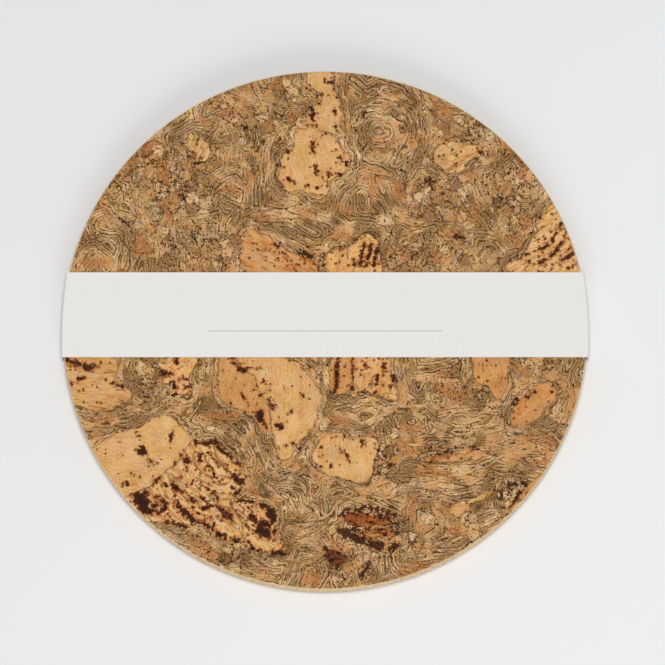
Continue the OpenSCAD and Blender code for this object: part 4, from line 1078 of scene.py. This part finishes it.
def camera_and_light():
    """Camera nearly overhead, a small ceiling lamp, a large window on the viewer's side, and a pale room"""
    scene = bpy.context.scene
    camera = stand("camera", bpy.data.cameras.new("camera"))
    camera.data.lens = CAMERA_LENS
    camera.data.sensor_width = 36
    camera.data.clip_start, camera.data.clip_end = 0.05, 60
    tilt = math.radians(CAMERA_TILT)
    back = Vector((0, -math.cos(tilt), math.sin(tilt)))
    camera.location = Vector(CAMERA_AIM_M) + back * CAMERA_BACK_M
    camera.rotation_mode = "QUATERNION"
    camera.rotation_quaternion = (-back).to_track_quat("-Z", "Y")
    scene.camera = camera

    for name, (size, watts, place) in LAMPS.items():
        lamp = bpy.data.lights.new(name, "AREA")
        lamp.shape = "RECTANGLE"
        lamp.size, lamp.size_y = size
        lamp.energy = watts
        soft_box = stand(name, lamp)
        soft_box.location = place
        soft_box.rotation_mode = "QUATERNION"
        soft_box.rotation_quaternion = (-soft_box.location).to_track_quat("-Z", "Y")

    # The room lights the scene less than it shows behind it
    world = bpy.data.worlds.new("room")
    scene.world = world
    world.use_nodes = True
    world.node_tree.nodes.clear()
    put = functools.partial(add, world.node_tree)
    ray = put("LightPath").outputs
    seen = put("Math MAXIMUM", [ray["Is Camera Ray"], ray["Is Glossy Ray"]])
    seen = put("Math MAXIMUM", [seen, ray["Is Transmission Ray"]])
    room = put("Background", {"Color": "#ffffff", "Strength": 0.42})
    shown = put("Background", {"Color": "#ebebec", "Strength": 1})
    put("OutputWorld", {"Surface": put("MixShader", [seen, room, shown])})


def painted_floor():
    """A pale matt sheet with painted shade: a little darker towards the far left and lighter towards the near right,
    as light falls off
    """
    mesh = bpy.data.meshes.new("floor")
    half = FLOOR_HALF_M
    mesh.from_pydata([(-half, -half, 0), (half, -half, 0), (half, half, 0), (-half, half, 0)], [], [(0, 1, 2, 3)])
    material, put = new_material("floor_paint")
    x, y, _ = put("SeparateXYZ", [put("TexCoord").outputs["Object"]]).outputs
    # Painted shade: the floor's colour darkens towards the far left in place of the light's falloff
    painted_falloff = weighted(put, x, (y, -1))
    painted_falloff = put("MapRange", [painted_falloff, -0.25, 0.25])
    finish_surface(put, put("MixRGB", [painted_falloff, "#e4e5e7", "#ededed"]), 0.9, shine=0.2)
    mesh.materials.append(material)
    return stand("floor", mesh)


bpy.context.scene.view_settings.view_transform = "Standard"
camera_and_light()
floor = painted_floor()

corks = {
    "pale_cork": slab_material("sanded_pale_cork", "#e9bb80", "#d8a76b", "#c18c51", "#ca8a4e", "#dfbb81"),
    "streaked_cork": slab_material("sanded_streaked_cork", "#efc186", "#e0a86a", "#c28248", "#c97d3f", "#e7c188"),
    "amber_cork": slab_material("sanded_amber_cork", "#dba768", "#cb9158", "#b07742", "#bf7236", "#d8ab6c"),
    "dark_cork": slab_material("sanded_dark_cork", "#44281b", "#22120c", "#120906", "#492a1a", "#2f1e19"),
}

strata = strata_sheet()
strata.data.materials.append(strata_material())
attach(strata, "trivet")
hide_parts("strata_veneer")

crumbs = bark_crumbs(strata, corks["dark_cork"])
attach(crumbs, "trivet")

for node, (cork, *_) in SLABS.items():
    piece = slab_sheet(node)
    piece.data.materials.append(corks[cork])
    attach(piece, "trivet")
    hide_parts(node)

band = card_band()
band.data.materials.append(card_material())
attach(band, "band")
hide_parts("band")

for node, material in (
    ("core_board", board_material()),
    ("veneer_film", glue_material("dried_veneer_glue", "#b08f5f", "#96754a")),
    ("band_glue", glue_material("dried_flap_glue", "#f1ead6", "#e2d7b8")),
):
    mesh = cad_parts[node].data
    if not mesh.materials:
        mesh.materials.append(material)
    for i in range(len(mesh.materials)):
        mesh.materials[i] = material
